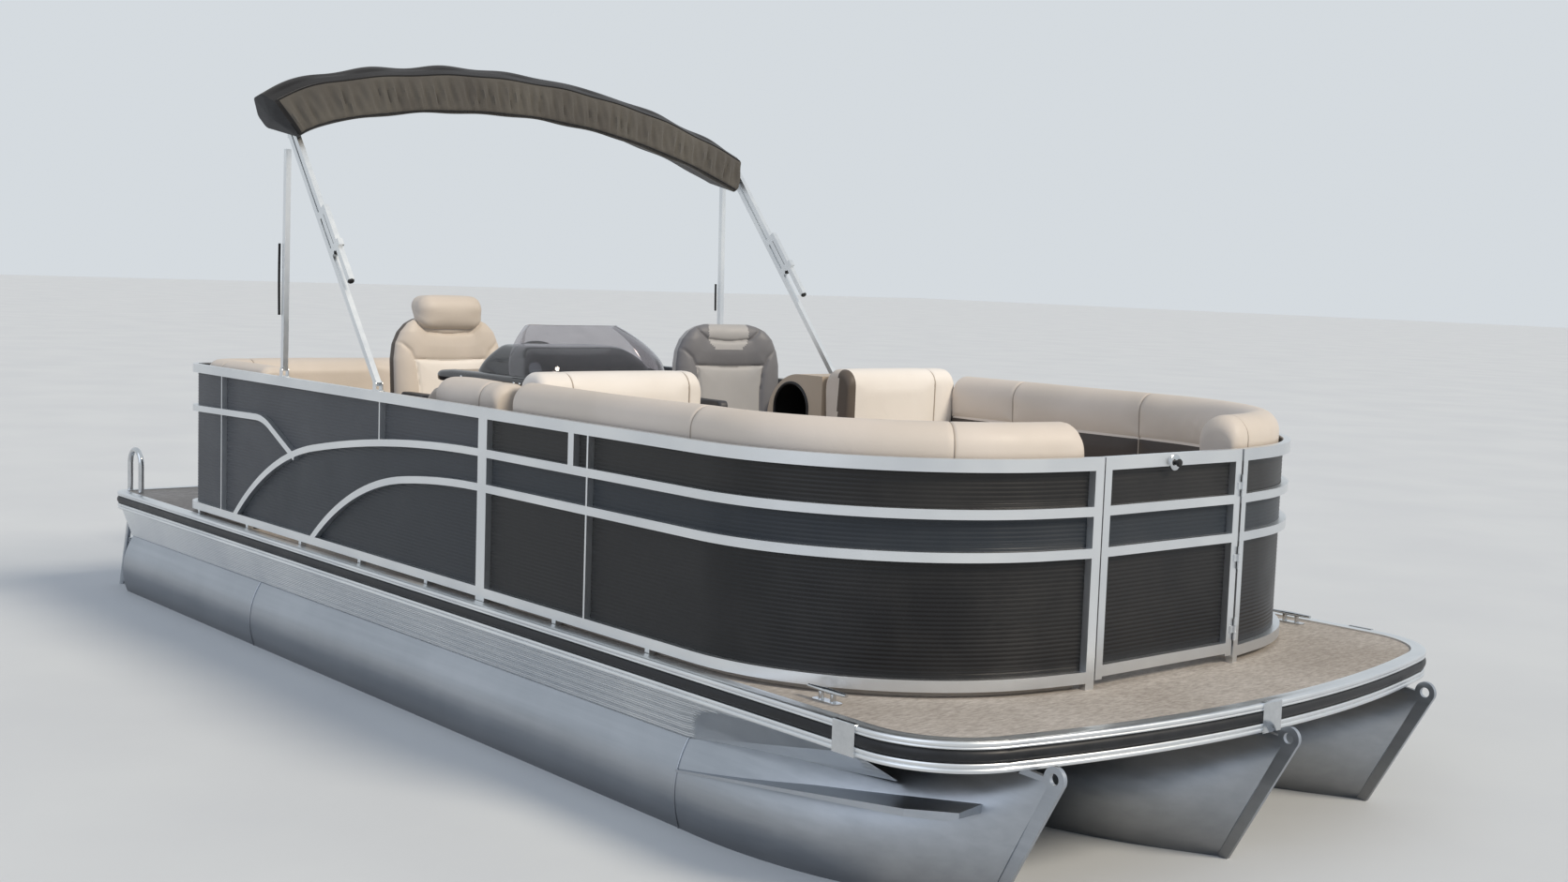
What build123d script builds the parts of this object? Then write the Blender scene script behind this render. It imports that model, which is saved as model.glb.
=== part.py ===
from build123d import *
import os
from math import atan2, cos, degrees, radians, sin, sqrt

os.makedirs("parts", exist_ok=True)

# The boat is described in millimetres: +X to the bow, +Y to port, +Z up.
# The origin is amidships on the centreline, at the waterline.

# Deck plan
DECK_BOW_X = 3080
DECK_AFT_X = -3100
HALF_BEAM = 1295
BOW_ARC_R = 4247
BOW_CORNER_R = 334
AFT_CORNER_R = 90
DECK_TOP_Z = 525
DECK_THICK = 25
TRIM_DEPTH = 30

# Pontoon tubes
TUBE_R = 310
TUBE_Z = 115
TUBE_Y = 944
TUBE_AFT_X = -3060
TUBE_FRONT_X = 1735
CENTRE_NOSE_LEAD = 100
TUBE_OFFSETS = {"starboard": (-TUBE_Y, 0), "centre": (0, CENTRE_NOSE_LEAD), "port": (TUBE_Y, 0)}
STEM_FOOT_X = 2740
STEM_FOOT_Z = -110
STEM_HEAD_X = 3010
STEM_HEAD_Z = 410
STEM_HALF_WIDTH = 11

# Fence round the cockpit
FENCE_Y = 1241
FENCE_AFT_X = -2275
FENCE_AFT_R = 120
FENCE_BOW_R = 856
GATE_X = 2659
GATE_HALF = 355
BOW_SLANT = radians(10.2)
RAIL_DEPTH = 25
SKIN_THICK = 4
RAIL_BOTTOM_Z = 545
RAIL_TOP_Z = 1241
TOP_RAIL_H = 40
BOTTOM_RAIL_H = 36
MID_RAIL_H = 30
UPPER_MID_Z = 1061
LOWER_MID_Z = 933
POST_X = 504
POST_W = 61
STERN_GATE_NEAR_Y = 440
STERN_GATE_FAR_Y = 1040
GATE_GAP = 8

# Seating
SEAT_BASE_TOP_Z = 860
SEAT_TOP_Z = 960
BACK_TOP_Z = 1345
COUCH_BACK_X = 640

# Folding top
LEG_FOOT_X = -335
FRAME_Y = 1226
FRAME_FOOT_Z = 1262
TUBE_SQUARE = 25

# Outboard motor
TILT_X = -3300
TILT_Z = 560
STEER_X = -3360
PROP_Z = -370
PROP_X = -3665


def polar(centre, radius, angle):
    return (centre[0] + radius * cos(angle), centre[1] + radius * sin(angle))


def deck_face(inset):
    """Deck plan, moved in by inset: bowed front, large bow corners, small aft corners."""
    half = HALF_BEAM - inset
    bow_r = BOW_ARC_R - inset
    corner_r = BOW_CORNER_R - inset
    aft_r = AFT_CORNER_R - inset
    bow_centre_x = DECK_BOW_X - BOW_ARC_R
    corner_y = HALF_BEAM - BOW_CORNER_R
    corner_x = bow_centre_x + sqrt((BOW_ARC_R - BOW_CORNER_R) ** 2 - corner_y ** 2)
    turn = atan2(corner_y, corner_x - bow_centre_x)
    aft_x = DECK_AFT_X + inset
    with BuildSketch(mode=Mode.PRIVATE) as plan:
        with BuildLine():
            for side in (-1, 1):
                corner = (corner_x, side * corner_y)
                Line((aft_x + aft_r, side * half), (corner_x, side * half))
                ThreePointArc(
                    (corner_x, side * half),
                    polar(corner, corner_r, side * (turn + radians(90)) / 2),
                    polar(corner, corner_r, side * turn),
                )
                aft_corner = (aft_x + aft_r, side * (half - aft_r))
                ThreePointArc(
                    (aft_x, side * (half - aft_r)),
                    polar(aft_corner, aft_r, side * radians(135)),
                    (aft_x + aft_r, side * half),
                )
            ThreePointArc(
                polar((bow_centre_x, 0), bow_r, -turn),
                (DECK_BOW_X - inset, 0),
                polar((bow_centre_x, 0), bow_r, turn),
            )
            Line((aft_x, aft_r - half), (aft_x, half - aft_r))
        make_face()
    return plan.sketch


SLANT_NORMAL = (cos(BOW_SLANT), sin(BOW_SLANT))
BOW_CORNER_Y = FENCE_Y - FENCE_BOW_R
BOW_CORNER_X = (
    GATE_X + GATE_HALF * SLANT_NORMAL[1] / SLANT_NORMAL[0]
    - (FENCE_BOW_R + BOW_CORNER_Y * SLANT_NORMAL[1]) / SLANT_NORMAL[0]
)


def fence_run(side, depth, aft_x):
    """Line of the fence at one depth in from its outer face, from aft_x to the bow gate."""
    face_y = side * (FENCE_Y - depth)
    corner = (BOW_CORNER_X, side * BOW_CORNER_Y)
    radius = FENCE_BOW_R - depth
    gate_end = (GATE_X - depth * SLANT_NORMAL[0], side * (GATE_HALF - depth * SLANT_NORMAL[1]))
    Line((aft_x, face_y), (BOW_CORNER_X, face_y))
    ThreePointArc(
        (BOW_CORNER_X, face_y),
        polar(corner, radius, side * (BOW_SLANT + radians(90)) / 2),
        polar(corner, radius, side * BOW_SLANT),
    )
    Line(polar(corner, radius, side * BOW_SLANT), gate_end)
    return gate_end


def fence_band(side, outer, inner, aft_x):
    """Strip of plan that follows the fence between two depths, from aft_x to the bow gate."""
    with BuildSketch(mode=Mode.PRIVATE) as plan:
        with BuildLine():
            outer_end = fence_run(side, outer, aft_x)
            inner_end = fence_run(side, inner, aft_x)
            Line(outer_end, inner_end)
            Line((aft_x, side * (FENCE_Y - outer)), (aft_x, side * (FENCE_Y - inner)))
        make_face()
    return plan.sketch


def stern_band(side, outer, inner, fore_x, end_y):
    """Strip of plan from fore_x on the side, round the aft corner and across the stern to end_y."""
    centre = (FENCE_AFT_X + FENCE_AFT_R, side * (FENCE_Y - FENCE_AFT_R))
    with BuildSketch(mode=Mode.PRIVATE) as plan:
        with BuildLine():
            for depth in (outer, inner):
                radius = FENCE_AFT_R - depth
                face_y = side * (FENCE_Y - depth)
                face_x = FENCE_AFT_X + depth
                Line((fore_x, face_y), (centre[0], face_y))
                ThreePointArc((centre[0], face_y), polar(centre, radius, side * radians(135)), (face_x, centre[1]))
                Line((face_x, centre[1]), (face_x, end_y))
            Line((fore_x, side * (FENCE_Y - outer)), (fore_x, side * (FENCE_Y - inner)))
            Line((FENCE_AFT_X + outer, end_y), (FENCE_AFT_X + inner, end_y))
        make_face()
    return plan.sketch


def lens(width, height):
    """Pointed section of a nose cone: two arcs that meet at the crown and at the keel."""
    with BuildSketch(mode=Mode.PRIVATE) as section:
        with BuildLine():
            ThreePointArc((0, -height), (width, 0), (0, height))
            ThreePointArc((0, height), (-width, 0), (0, -height))
        make_face()
    return section.sketch


# Deck: a plywood floor held in an extruded trim that carries a rubber rub rail.
with BuildPart() as deck_floor:
    with BuildSketch(Plane.XY.offset(DECK_TOP_Z - DECK_THICK)):
        add(deck_face(TRIM_DEPTH))
    extrude(amount=DECK_THICK)
deck_floor.part.label = "deck_floor"
export_step(deck_floor.part, "parts/deck_floor.step")

TRIM_STEPS = (
    # bottom, top, outer inset, inner inset
    (440, 446, 8, 30),
    (446, 470, 0, 30),
    (470, 508, 12, 30),
    (508, 531, 0, 30),
)
BEAD_ROUND = 9
LIP_REACH = 50
LIP_THICK = 5
RUB_INSETS = (1, 12)
RUB_Z = 475
RUB_H = 28
with BuildPart() as deck_trim:
    for bottom, top, outer, inner in TRIM_STEPS:
        with BuildSketch(Plane.XY.offset(bottom)):
            add(deck_face(outer))
            add(deck_face(inner), mode=Mode.SUBTRACT)
        extrude(amount=top - bottom)
    with BuildSketch(Plane.XY.offset(DECK_TOP_Z)):
        add(deck_face(BEAD_ROUND))
        add(deck_face(LIP_REACH), mode=Mode.SUBTRACT)
    extrude(amount=LIP_THICK)
deck_trim.part.label = "deck_trim"
export_step(deck_trim.part, "parts/deck_trim.step")

with BuildPart() as rub_rail:
    with BuildSketch(Plane.XY.offset(RUB_Z)):
        add(deck_face(RUB_INSETS[0]))
        add(deck_face(RUB_INSETS[1]), mode=Mode.SUBTRACT)
    extrude(amount=RUB_H)
rub_rail.part.label = "rub_rail"
export_step(rub_rail.part, "parts/rub_rail.step")

# Cross members: C-channels laid across the tubes, and one along the transom.
CHANNEL_TOP_Z = DECK_TOP_Z - DECK_THICK
CHANNEL_H = 65
CHANNEL_W = 38
CHANNEL_WALL = 5
CHANNEL_HALF = 1240
CHANNEL_FIRST_X = -3020
CHANNEL_PITCH = 430
CHANNEL_COUNT = 14
with BuildPart() as cross_members:
    for row in range(CHANNEL_COUNT):
        front_x = CHANNEL_FIRST_X + row * CHANNEL_PITCH
        with BuildSketch(Plane.XZ.offset(CHANNEL_HALF)):
            with Locations((front_x, CHANNEL_TOP_Z - CHANNEL_H / 2)):
                Rectangle(CHANNEL_W, CHANNEL_H)
            with Locations((front_x + CHANNEL_WALL, CHANNEL_TOP_Z - CHANNEL_H / 2)):
                Rectangle(CHANNEL_W, CHANNEL_H - 2 * CHANNEL_WALL, mode=Mode.SUBTRACT)
        extrude(amount=-2 * CHANNEL_HALF)
cross_members.part.label = "cross_members"
export_step(cross_members.part, "parts/cross_members.step")

# Pontoon tubes: three rolled cylinders with domed aft caps.
CAP_DOME = 40
CAP_R = (TUBE_R ** 2 + CAP_DOME ** 2) / (2 * CAP_DOME)
with BuildPart() as pontoon_tubes:
    for offset_y, lead in TUBE_OFFSETS.values():
        with BuildSketch(Plane.XZ.offset(-offset_y)):
            with BuildLine():
                RadiusArc((TUBE_AFT_X - CAP_DOME, TUBE_Z), (TUBE_AFT_X, TUBE_Z + TUBE_R), CAP_R)
                Polyline(
                    (TUBE_AFT_X, TUBE_Z + TUBE_R),
                    (TUBE_FRONT_X + lead, TUBE_Z + TUBE_R),
                    (TUBE_FRONT_X + lead, TUBE_Z),
                    (TUBE_AFT_X - CAP_DOME, TUBE_Z),
                )
            make_face()
        revolve(axis=Axis((TUBE_AFT_X, offset_y, TUBE_Z), (1, 0, 0)))
pontoon_tubes.part.label = "pontoon_tubes"
export_step(pontoon_tubes.part, "parts/pontoon_tubes.step")

# Nose cones: rolled plate drawn from the round tube to a raked stem.
STEM_TILT = atan2(STEM_HEAD_X - STEM_FOOT_X, STEM_HEAD_Z - STEM_FOOT_Z)
STEM_LENGTH = sqrt((STEM_HEAD_X - STEM_FOOT_X) ** 2 + (STEM_HEAD_Z - STEM_FOOT_Z) ** 2)
NOSE_SECTIONS = (
    # centre x, centre z, tilt share, half width, half height
    (TUBE_FRONT_X, TUBE_Z, 0.0, TUBE_R, TUBE_R),
    (2150, 114, 0.15, 286, 310),
    (2520, 120, 0.5, 190, 305),
    ((STEM_FOOT_X + STEM_HEAD_X) / 2, (STEM_FOOT_Z + STEM_HEAD_Z) / 2, 1.0, STEM_HALF_WIDTH, STEM_LENGTH / 2),
)


def tilted_plane(x, y, z, tilt):
    return Plane(origin=(x, y, z), x_dir=(0, 1, 0), z_dir=(cos(tilt), 0, -sin(tilt)))


with BuildPart() as nose_cones:
    for offset_y, lead in TUBE_OFFSETS.values():
        for centre_x, centre_z, share, width, height in NOSE_SECTIONS:
            with BuildSketch(tilted_plane(centre_x + lead, offset_y, centre_z, share * STEM_TILT)):
                add(lens(width, height))
        loft()
nose_cones.part.label = "nose_cones"
export_step(nose_cones.part, "parts/nose_cones.step")

# Bow eyes: a flat keel bar welded down each stem, with a holed plate at its head.
KEEL_BAR_T = 14
KEEL_BAR_W = 34
EYE_R = 36
EYE_HOLE_R = 17
EYE_X = 3027
EYE_Z = 426
with BuildPart() as bow_eyes:
    for offset_y, lead in TUBE_OFFSETS.values():
        with BuildSketch(Plane.XZ.offset(-offset_y + KEEL_BAR_T / 2)):
            with BuildLine():
                Polyline(
                    (STEM_HEAD_X + lead, STEM_HEAD_Z),
                    (STEM_FOOT_X + lead, STEM_FOOT_Z),
                    (STEM_FOOT_X + lead + KEEL_BAR_W, STEM_FOOT_Z),
                    (EYE_X + lead + EYE_R * 0.8, EYE_Z - EYE_R * 0.6),
                    (EYE_X + lead - EYE_R, EYE_Z),
                    (EYE_X + lead - 110, EYE_Z + 8),
                    (STEM_HEAD_X + lead - 110, STEM_HEAD_Z + 4),
                    close=True,
                )
            make_face()
            with Locations((EYE_X + lead, EYE_Z)):
                Circle(EYE_R)
                Circle(EYE_HOLE_R, mode=Mode.SUBTRACT)
        extrude(amount=-KEEL_BAR_T)
    add(nose_cones.part, mode=Mode.SUBTRACT)
bow_eyes.part.label = "bow_eyes"
export_step(bow_eyes.part, "parts/bow_eyes.step")

# Nose strakes: a folded ledge welded along the outboard side of each outer nose.
STRAKE_SIDE = (
    # x, z, along the top of the ledge and back along its underside
    (1742, 196),
    (2300, 268),
    (2845, 316),
    (2845, 300),
    (2815, 288),
    (2300, 256),
    (1742, 188),
)
STRAKE_PLAN = ((1742, 1258), (2300, 1256), (2700, 1190), (2845, 1122), (2815, 1000), (1742, 1000))
STRAKE_ROOT_Y = 1000
STRAKE_REACH = 300
with BuildPart() as nose_strakes:
    for side in (-1, 1):
        with BuildSketch(Plane.XZ.offset(-side * STRAKE_ROOT_Y)):
            with BuildLine():
                Polyline(*STRAKE_SIDE, close=True)
            make_face()
        extrude(amount=-side * STRAKE_REACH)
    with BuildSketch(Plane.XY.offset(STRAKE_SIDE[-1][1])):
        for side in (-1, 1):
            with BuildLine():
                Polyline(*[(x, side * y) for x, y in STRAKE_PLAN], close=True)
            make_face()
    extrude(amount=STRAKE_REACH, mode=Mode.INTERSECT)
    add(nose_cones.part, mode=Mode.SUBTRACT)
nose_strakes.part.label = "nose_strakes"
export_step(nose_strakes.part, "parts/nose_strakes.step")

# Risers: brackets along the crown of each tube that carry the cross members.
RISER_HALF = 110
RISER_AFT_X = TUBE_AFT_X + 20
RISER_TOP_Z = CHANNEL_TOP_Z - CHANNEL_H
with BuildPart() as tube_risers:
    for offset_y, lead in TUBE_OFFSETS.values():
        with BuildSketch(Plane.YZ.offset(RISER_AFT_X)):
            with Locations((offset_y, (TUBE_Z + TUBE_R / 2 + RISER_TOP_Z) / 2)):
                Rectangle(2 * RISER_HALF, RISER_TOP_Z - TUBE_Z - TUBE_R / 2)
            with Locations((offset_y, TUBE_Z)):
                Circle(TUBE_R, mode=Mode.SUBTRACT)
        extrude(amount=TUBE_FRONT_X - RISER_AFT_X)
tube_risers.part.label = "tube_risers"
export_step(tube_risers.part, "parts/tube_risers.step")

# Side skirts: corrugated sheets from the trim down to the shoulder of the outer tubes.
SKIRT_T = 6
SKIRT_SECTIONS = (
    # x, top y, top z, foot y, foot z
    (TUBE_AFT_X, 1262, 439, 1206, 290),
    (TUBE_FRONT_X, 1262, 439, 1206, 290),
    (2560, 1262, 439, 1085, 330),
)
with BuildPart() as side_skirts:
    for side in (-1, 1):
        for station, top_y, top_z, foot_y, foot_z in SKIRT_SECTIONS:
            with BuildSketch(Plane.YZ.offset(station)):
                with BuildLine():
                    Polyline(
                        (side * top_y, top_z),
                        (side * (foot_y + SKIRT_T), foot_z),
                        (side * foot_y, foot_z),
                        (side * (top_y - SKIRT_T), top_z),
                        close=True,
                    )
                make_face()
        loft(ruled=True)
    add(nose_cones.part, mode=Mode.SUBTRACT)
side_skirts.part.label = "side_skirts"
export_step(side_skirts.part, "parts/side_skirts.step")

# Fence: welded square-tube frames, with arched rails on the aft half of each side.
ARCH_W = 28
UPPER_ARCH = ((POST_X, UPPER_MID_Z + 15), (-880, 960), (-1690, 572))
LOWER_ARCH = ((POST_X, LOWER_MID_Z + 15), (-86, 912), (-890, 572))
AFT_ARCH = ((-2140, 1030), (-1390, 1046), (-1065, 900))
AFT_ARCH_R = 330
SEAM_POSTS = (
    # x, bottom, top
    (-1838, RAIL_BOTTOM_Z, RAIL_TOP_Z),
    (-291, 1050, RAIL_TOP_Z),
    (1183, RAIL_BOTTOM_Z, RAIL_TOP_Z),
)
SEAM_W = 9
SHORT_POST_X = 1082
SHORT_POST_W = 34
END_POST = 32
FOOT_H = RAIL_BOTTOM_Z - DECK_TOP_Z
FOOT_SIZE = 24
FOOT_XS = (-2100, -1550, -1000, -450, 100, 504, 1000, 1550)


def side_post(side, x, width, bottom, top, depth):
    """Upright bar set into one side's frame."""
    with BuildPart() as post:
        with BuildSketch(Plane.XZ.offset(-side * (FENCE_Y - RAIL_DEPTH))):
            with Locations((x, (bottom + top) / 2)):
                Rectangle(width, top - bottom)
        extrude(amount=-side * depth)
    return post.part


HINGE_R = 5
HINGE_LEVELS = (640, 880, 1120)
KNUCKLE_H = 24
KNUCKLE_GAP = 1
LEAF_W = 18
LEAF_GAP = 2
LEAF_T = 9
LEAF_SINK = 2
WEB = 4
BOW_HINGE = (GATE_X + HINGE_R, GATE_HALF - GATE_GAP / 2)
STERN_HINGE = (FENCE_AFT_X - HINGE_R, STERN_GATE_FAR_Y - GATE_GAP / 2)


def hinge_knuckles(axis, facing, leaf_side, on_gate):
    """Barrels and leaves of three butt hinges: the middle knuckle on the gate, the outer two on the post."""
    half = KNUCKLE_H / 2
    if on_gate:
        spans = ((-half, half),)
    else:
        spans = ((-half - KNUCKLE_GAP - KNUCKLE_H, -half - KNUCKLE_GAP), (half + KNUCKLE_GAP, half + KNUCKLE_GAP + KNUCKLE_H))
    leaf = (
        axis[0] - facing * (HINGE_R + LEAF_T / 2 - LEAF_SINK),
        axis[1] + leaf_side * (LEAF_GAP + LEAF_W / 2),
    )
    web = (axis[0] - facing * (HINGE_R - 1), axis[1] + leaf_side * (LEAF_GAP + WEB / 2))
    with BuildPart() as knuckles:
        for level in HINGE_LEVELS:
            for low, high in spans:
                with BuildSketch(Plane.XY.offset(level + low)):
                    with Locations(axis):
                        Circle(HINGE_R)
                    with Locations(leaf):
                        Rectangle(LEAF_T, LEAF_W)
                    with Locations(web):
                        Rectangle(WEB, WEB)
                extrude(amount=high - low)
    return knuckles.part


def fence_frame(side, stern_end_y):
    with BuildPart() as frame:
        for bottom, height, bow_only in (
            (RAIL_BOTTOM_Z, BOTTOM_RAIL_H, False),
            (RAIL_TOP_Z - TOP_RAIL_H, TOP_RAIL_H, False),
            (UPPER_MID_Z, MID_RAIL_H, True),
            (LOWER_MID_Z, MID_RAIL_H, True),
        ):
            with BuildSketch(Plane.XY.offset(bottom)):
                add(fence_band(side, 0, RAIL_DEPTH, POST_X if bow_only else 0))
                if not bow_only:
                    add(stern_band(side, 0, RAIL_DEPTH, 0, stern_end_y))
            extrude(amount=height)
        with BuildSketch(Plane.XY.offset(AFT_ARCH[0][1] - ARCH_W / 2)):
            add(stern_band(side, 0, RAIL_DEPTH, AFT_ARCH[0][0], stern_end_y))
        extrude(amount=ARCH_W)
        face = Plane.XZ.offset(-side * (FENCE_Y - RAIL_DEPTH))
        for start, middle, end in (UPPER_ARCH, LOWER_ARCH):
            with BuildSketch(face):
                with BuildLine():
                    first = TangentArc(start, middle, tangent=(-1, 0))
                    TangentArc(middle, end, tangent=first % 1)
                trace(line_width=ARCH_W)
            extrude(amount=-side * RAIL_DEPTH)
        with BuildSketch(face):
            with BuildLine():
                FilletPolyline(AFT_ARCH, radius=AFT_ARCH_R)
            trace(line_width=ARCH_W)
        extrude(amount=-side * RAIL_DEPTH)
        add(side_post(side, POST_X, POST_W, DECK_TOP_Z, RAIL_TOP_Z, RAIL_DEPTH))
        add(side_post(side, SHORT_POST_X, SHORT_POST_W, UPPER_MID_Z, RAIL_TOP_Z, RAIL_DEPTH))
        for x, bottom, top in SEAM_POSTS:
            add(side_post(side, x, SEAM_W, bottom, top, RAIL_DEPTH))
        for x in FOOT_XS:
            add(side_post(side, x, FOOT_SIZE, DECK_TOP_Z, RAIL_BOTTOM_Z, FOOT_SIZE))
        with BuildSketch(Plane.XY.offset(DECK_TOP_Z)):
            add(fence_band(side, 0, RAIL_DEPTH, 0))
            with Locations((GATE_X, side * (GATE_HALF + END_POST / 2))):
                Rectangle(6 * END_POST, END_POST, mode=Mode.INTERSECT)
        extrude(amount=RAIL_TOP_Z - DECK_TOP_Z)
        with BuildSketch(Plane.XY.offset(DECK_TOP_Z)):
            post_y = stern_end_y + side * END_POST / 2
            with Locations((FENCE_AFT_X + RAIL_DEPTH / 2, post_y)):
                Rectangle(RAIL_DEPTH, END_POST)
        extrude(amount=RAIL_TOP_Z - DECK_TOP_Z)
        if side > 0:
            add(hinge_knuckles(BOW_HINGE, 1, 1, False))
            add(hinge_knuckles(STERN_HINGE, -1, 1, False))
    return frame.part


fence_frame_starboard = fence_frame(-1, STERN_GATE_NEAR_Y)
fence_frame_starboard.label = "fence_frame_starboard"
export_step(fence_frame_starboard, "parts/fence_frame_starboard.step")
fence_frame_port = fence_frame(1, STERN_GATE_FAR_Y)
fence_frame_port.label = "fence_frame_port"
export_step(fence_frame_port, "parts/fence_frame_port.step")

# Fence skins: ribbed aluminium sheet fixed inside the frames.
SKIN_BOTTOM_Z = 550
SKIN_TOP_Z = 1236


def fence_skin(side, stern_end_y):
    with BuildPart() as skin:
        with BuildSketch(Plane.XY.offset(SKIN_BOTTOM_Z)):
            add(fence_band(side, RAIL_DEPTH, RAIL_DEPTH + SKIN_THICK, 0))
            add(stern_band(side, RAIL_DEPTH, RAIL_DEPTH + SKIN_THICK, 0, stern_end_y))
        extrude(amount=SKIN_TOP_Z - SKIN_BOTTOM_Z)
    return skin.part


fence_skin_starboard = fence_skin(-1, STERN_GATE_NEAR_Y)
fence_skin_starboard.label = "fence_skin_starboard"
export_step(fence_skin_starboard, "parts/fence_skin_starboard.step")
fence_skin_port = fence_skin(1, STERN_GATE_FAR_Y)
fence_skin_port.label = "fence_skin_port"
export_step(fence_skin_port, "parts/fence_skin_port.step")

# Gates: small frames of their own, with two middle rails and a sheet behind them.
GATE_BOTTOM_Z = 552
GATE_TOP_Z = RAIL_TOP_Z
GATE_RAILS = (
    # bottom, height
    (560, BOTTOM_RAIL_H),
    (LOWER_MID_Z, MID_RAIL_H),
    (UPPER_MID_Z, MID_RAIL_H),
    (RAIL_TOP_Z - TOP_RAIL_H, TOP_RAIL_H),
)


def gate_frame(hinge_axis, outer_x, facing, near_y, far_y):
    """Gate frame whose outer face lies at outer_x and looks along facing (1 bow, -1 stern)."""
    depth_x = outer_x - facing * RAIL_DEPTH / 2
    with BuildPart() as frame:
        for edge_y in (near_y + END_POST / 2, far_y - END_POST / 2):
            with BuildSketch(Plane.XY.offset(GATE_BOTTOM_Z)):
                with Locations((depth_x, edge_y)):
                    Rectangle(RAIL_DEPTH, END_POST)
            extrude(amount=GATE_TOP_Z - GATE_BOTTOM_Z)
        for bottom, height in GATE_RAILS:
            with BuildSketch(Plane.XY.offset(bottom)):
                with Locations((depth_x, (near_y + far_y) / 2)):
                    Rectangle(RAIL_DEPTH, far_y - near_y - END_POST)
            extrude(amount=height)
        add(hinge_knuckles(hinge_axis, facing, -1, True))
    return frame.part


def gate_skin(outer_x, facing, near_y, far_y):
    depth_x = outer_x - facing * (RAIL_DEPTH + SKIN_THICK / 2)
    with BuildPart() as skin:
        with BuildSketch(Plane.XY.offset(GATE_RAILS[0][0] + 5)):
            with Locations((depth_x, (near_y + far_y) / 2)):
                Rectangle(SKIN_THICK, far_y - near_y - 10)
        extrude(amount=GATE_TOP_Z - GATE_RAILS[0][0] - 10)
    return skin.part


GATES = {
    # name: hinge axis, outer face x, facing, starboard edge y, port edge y
    "bow_gate": (BOW_HINGE, GATE_X - 2, 1, GATE_GAP - GATE_HALF, GATE_HALF - GATE_GAP),
    "stern_gate": (STERN_HINGE, FENCE_AFT_X, -1, STERN_GATE_NEAR_Y + GATE_GAP, STERN_GATE_FAR_Y - GATE_GAP),
}
for gate_name, (hinge_axis, *gate_place) in GATES.items():
    framed = gate_frame(hinge_axis, *gate_place)
    framed.label = gate_name + "_frame"
    export_step(framed, f"parts/{framed.label}.step")
    sheet = gate_skin(*gate_place)
    sheet.label = gate_name + "_skin"
    export_step(sheet, f"parts/{sheet.label}.step")

# Cleats: a plate, two short legs and a horn that tapers to rounded ends.
CLEATS = (
    # x, y, height of the surface it stands on
    (2340, -1165, DECK_TOP_Z),
    (2340, 1165, DECK_TOP_Z),
    (-2880, 1165, DECK_TOP_Z),
    (-2880, -700, DECK_TOP_Z),
)
CLEAT_PLATE = (110, 34, 12)
CLEAT_PLATE_T = 5
CLEAT_LEG_X = 26
CLEAT_LEG_R = 9
CLEAT_LEG_H = 24
HORN_LEVEL = 34
HORN_LENGTH = 164
HORN_MIDDLE = (13, 8)
HORN_TIP = (7, 5)
with BuildPart() as cleats:
    for cleat_x, cleat_y, stand_z in CLEATS:
        with BuildSketch(Plane.XY.offset(stand_z)):
            with Locations((cleat_x, cleat_y)):
                RectangleRounded(*CLEAT_PLATE)
        extrude(amount=CLEAT_PLATE_T)
        with BuildSketch(Plane.XY.offset(stand_z + CLEAT_PLATE_T)):
            for leg in (-CLEAT_LEG_X, CLEAT_LEG_X):
                with Locations((cleat_x + leg, cleat_y)):
                    Circle(CLEAT_LEG_R)
        extrude(amount=CLEAT_LEG_H)
        for end in (-1, 1):
            for reach, size in ((0, HORN_MIDDLE), (HORN_LENGTH / 2, HORN_TIP)):
                with BuildSketch(Plane.YZ.offset(cleat_x + end * reach)):
                    with Locations((cleat_y, stand_z + HORN_LEVEL)):
                        Ellipse(*size)
            loft()
cleats.part.label = "cleats"
export_step(cleats.part, "parts/cleats.step")

# Boarding ladder: two rails and three treads on hinge lugs, with a grab handle each side.
LADDER_PIVOT = (-3128, 490)
LADDER_Y = (-1180, -850)
HINGE_TUBE_END = 14
PIN_R = 6
PIN_END = 28
LUG_GAP = 3
LUG_T = 6
LUG_R = 22
LADDER_SLANT = radians(17)
LADDER_LENGTH = 900
LADDER_TUBE_R = 14
TREADS = (250, 520, 790)
HANDLE_Y = (-1212, -806)
HANDLE_X = (-3070, -2920)
HANDLE_TUBE_R = 14
HANDLE_TOP_Z = 745
HANDLE_BEND_R = 74


def ladder_point(distance):
    return (
        LADDER_PIVOT[0] - distance * sin(LADDER_SLANT),
        LADDER_PIVOT[1] - distance * cos(LADDER_SLANT),
    )


with BuildPart() as ladder:
    head_x, head_z = ladder_point(0)
    foot_x, foot_z = ladder_point(LADDER_LENGTH)
    for rail_y in LADDER_Y:
        with BuildLine() as rail_line:
            Line((head_x, rail_y, head_z), (foot_x, rail_y, foot_z))
        with BuildSketch(rail_line.line ^ 0):
            Circle(LADDER_TUBE_R)
        sweep(path=rail_line.line)
    for half_length, radius in ((HINGE_TUBE_END, LADDER_TUBE_R), (PIN_END, PIN_R)):
        with BuildSketch(Plane.XZ.offset(-LADDER_Y[0] + half_length)):
            with Locations(LADDER_PIVOT):
                Circle(radius)
        extrude(amount=LADDER_Y[0] - LADDER_Y[1] - 2 * half_length)
    for reach in TREADS:
        tread_x, tread_z = ladder_point(reach)
        with BuildSketch(Plane.XZ.offset(-LADDER_Y[0])):
            with Locations((tread_x, tread_z)):
                RectangleRounded(70, 24, 10)
        extrude(amount=LADDER_Y[0] - LADDER_Y[1])
ladder.part.label = "ladder"
export_step(ladder.part, "parts/ladder.step")

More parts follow.
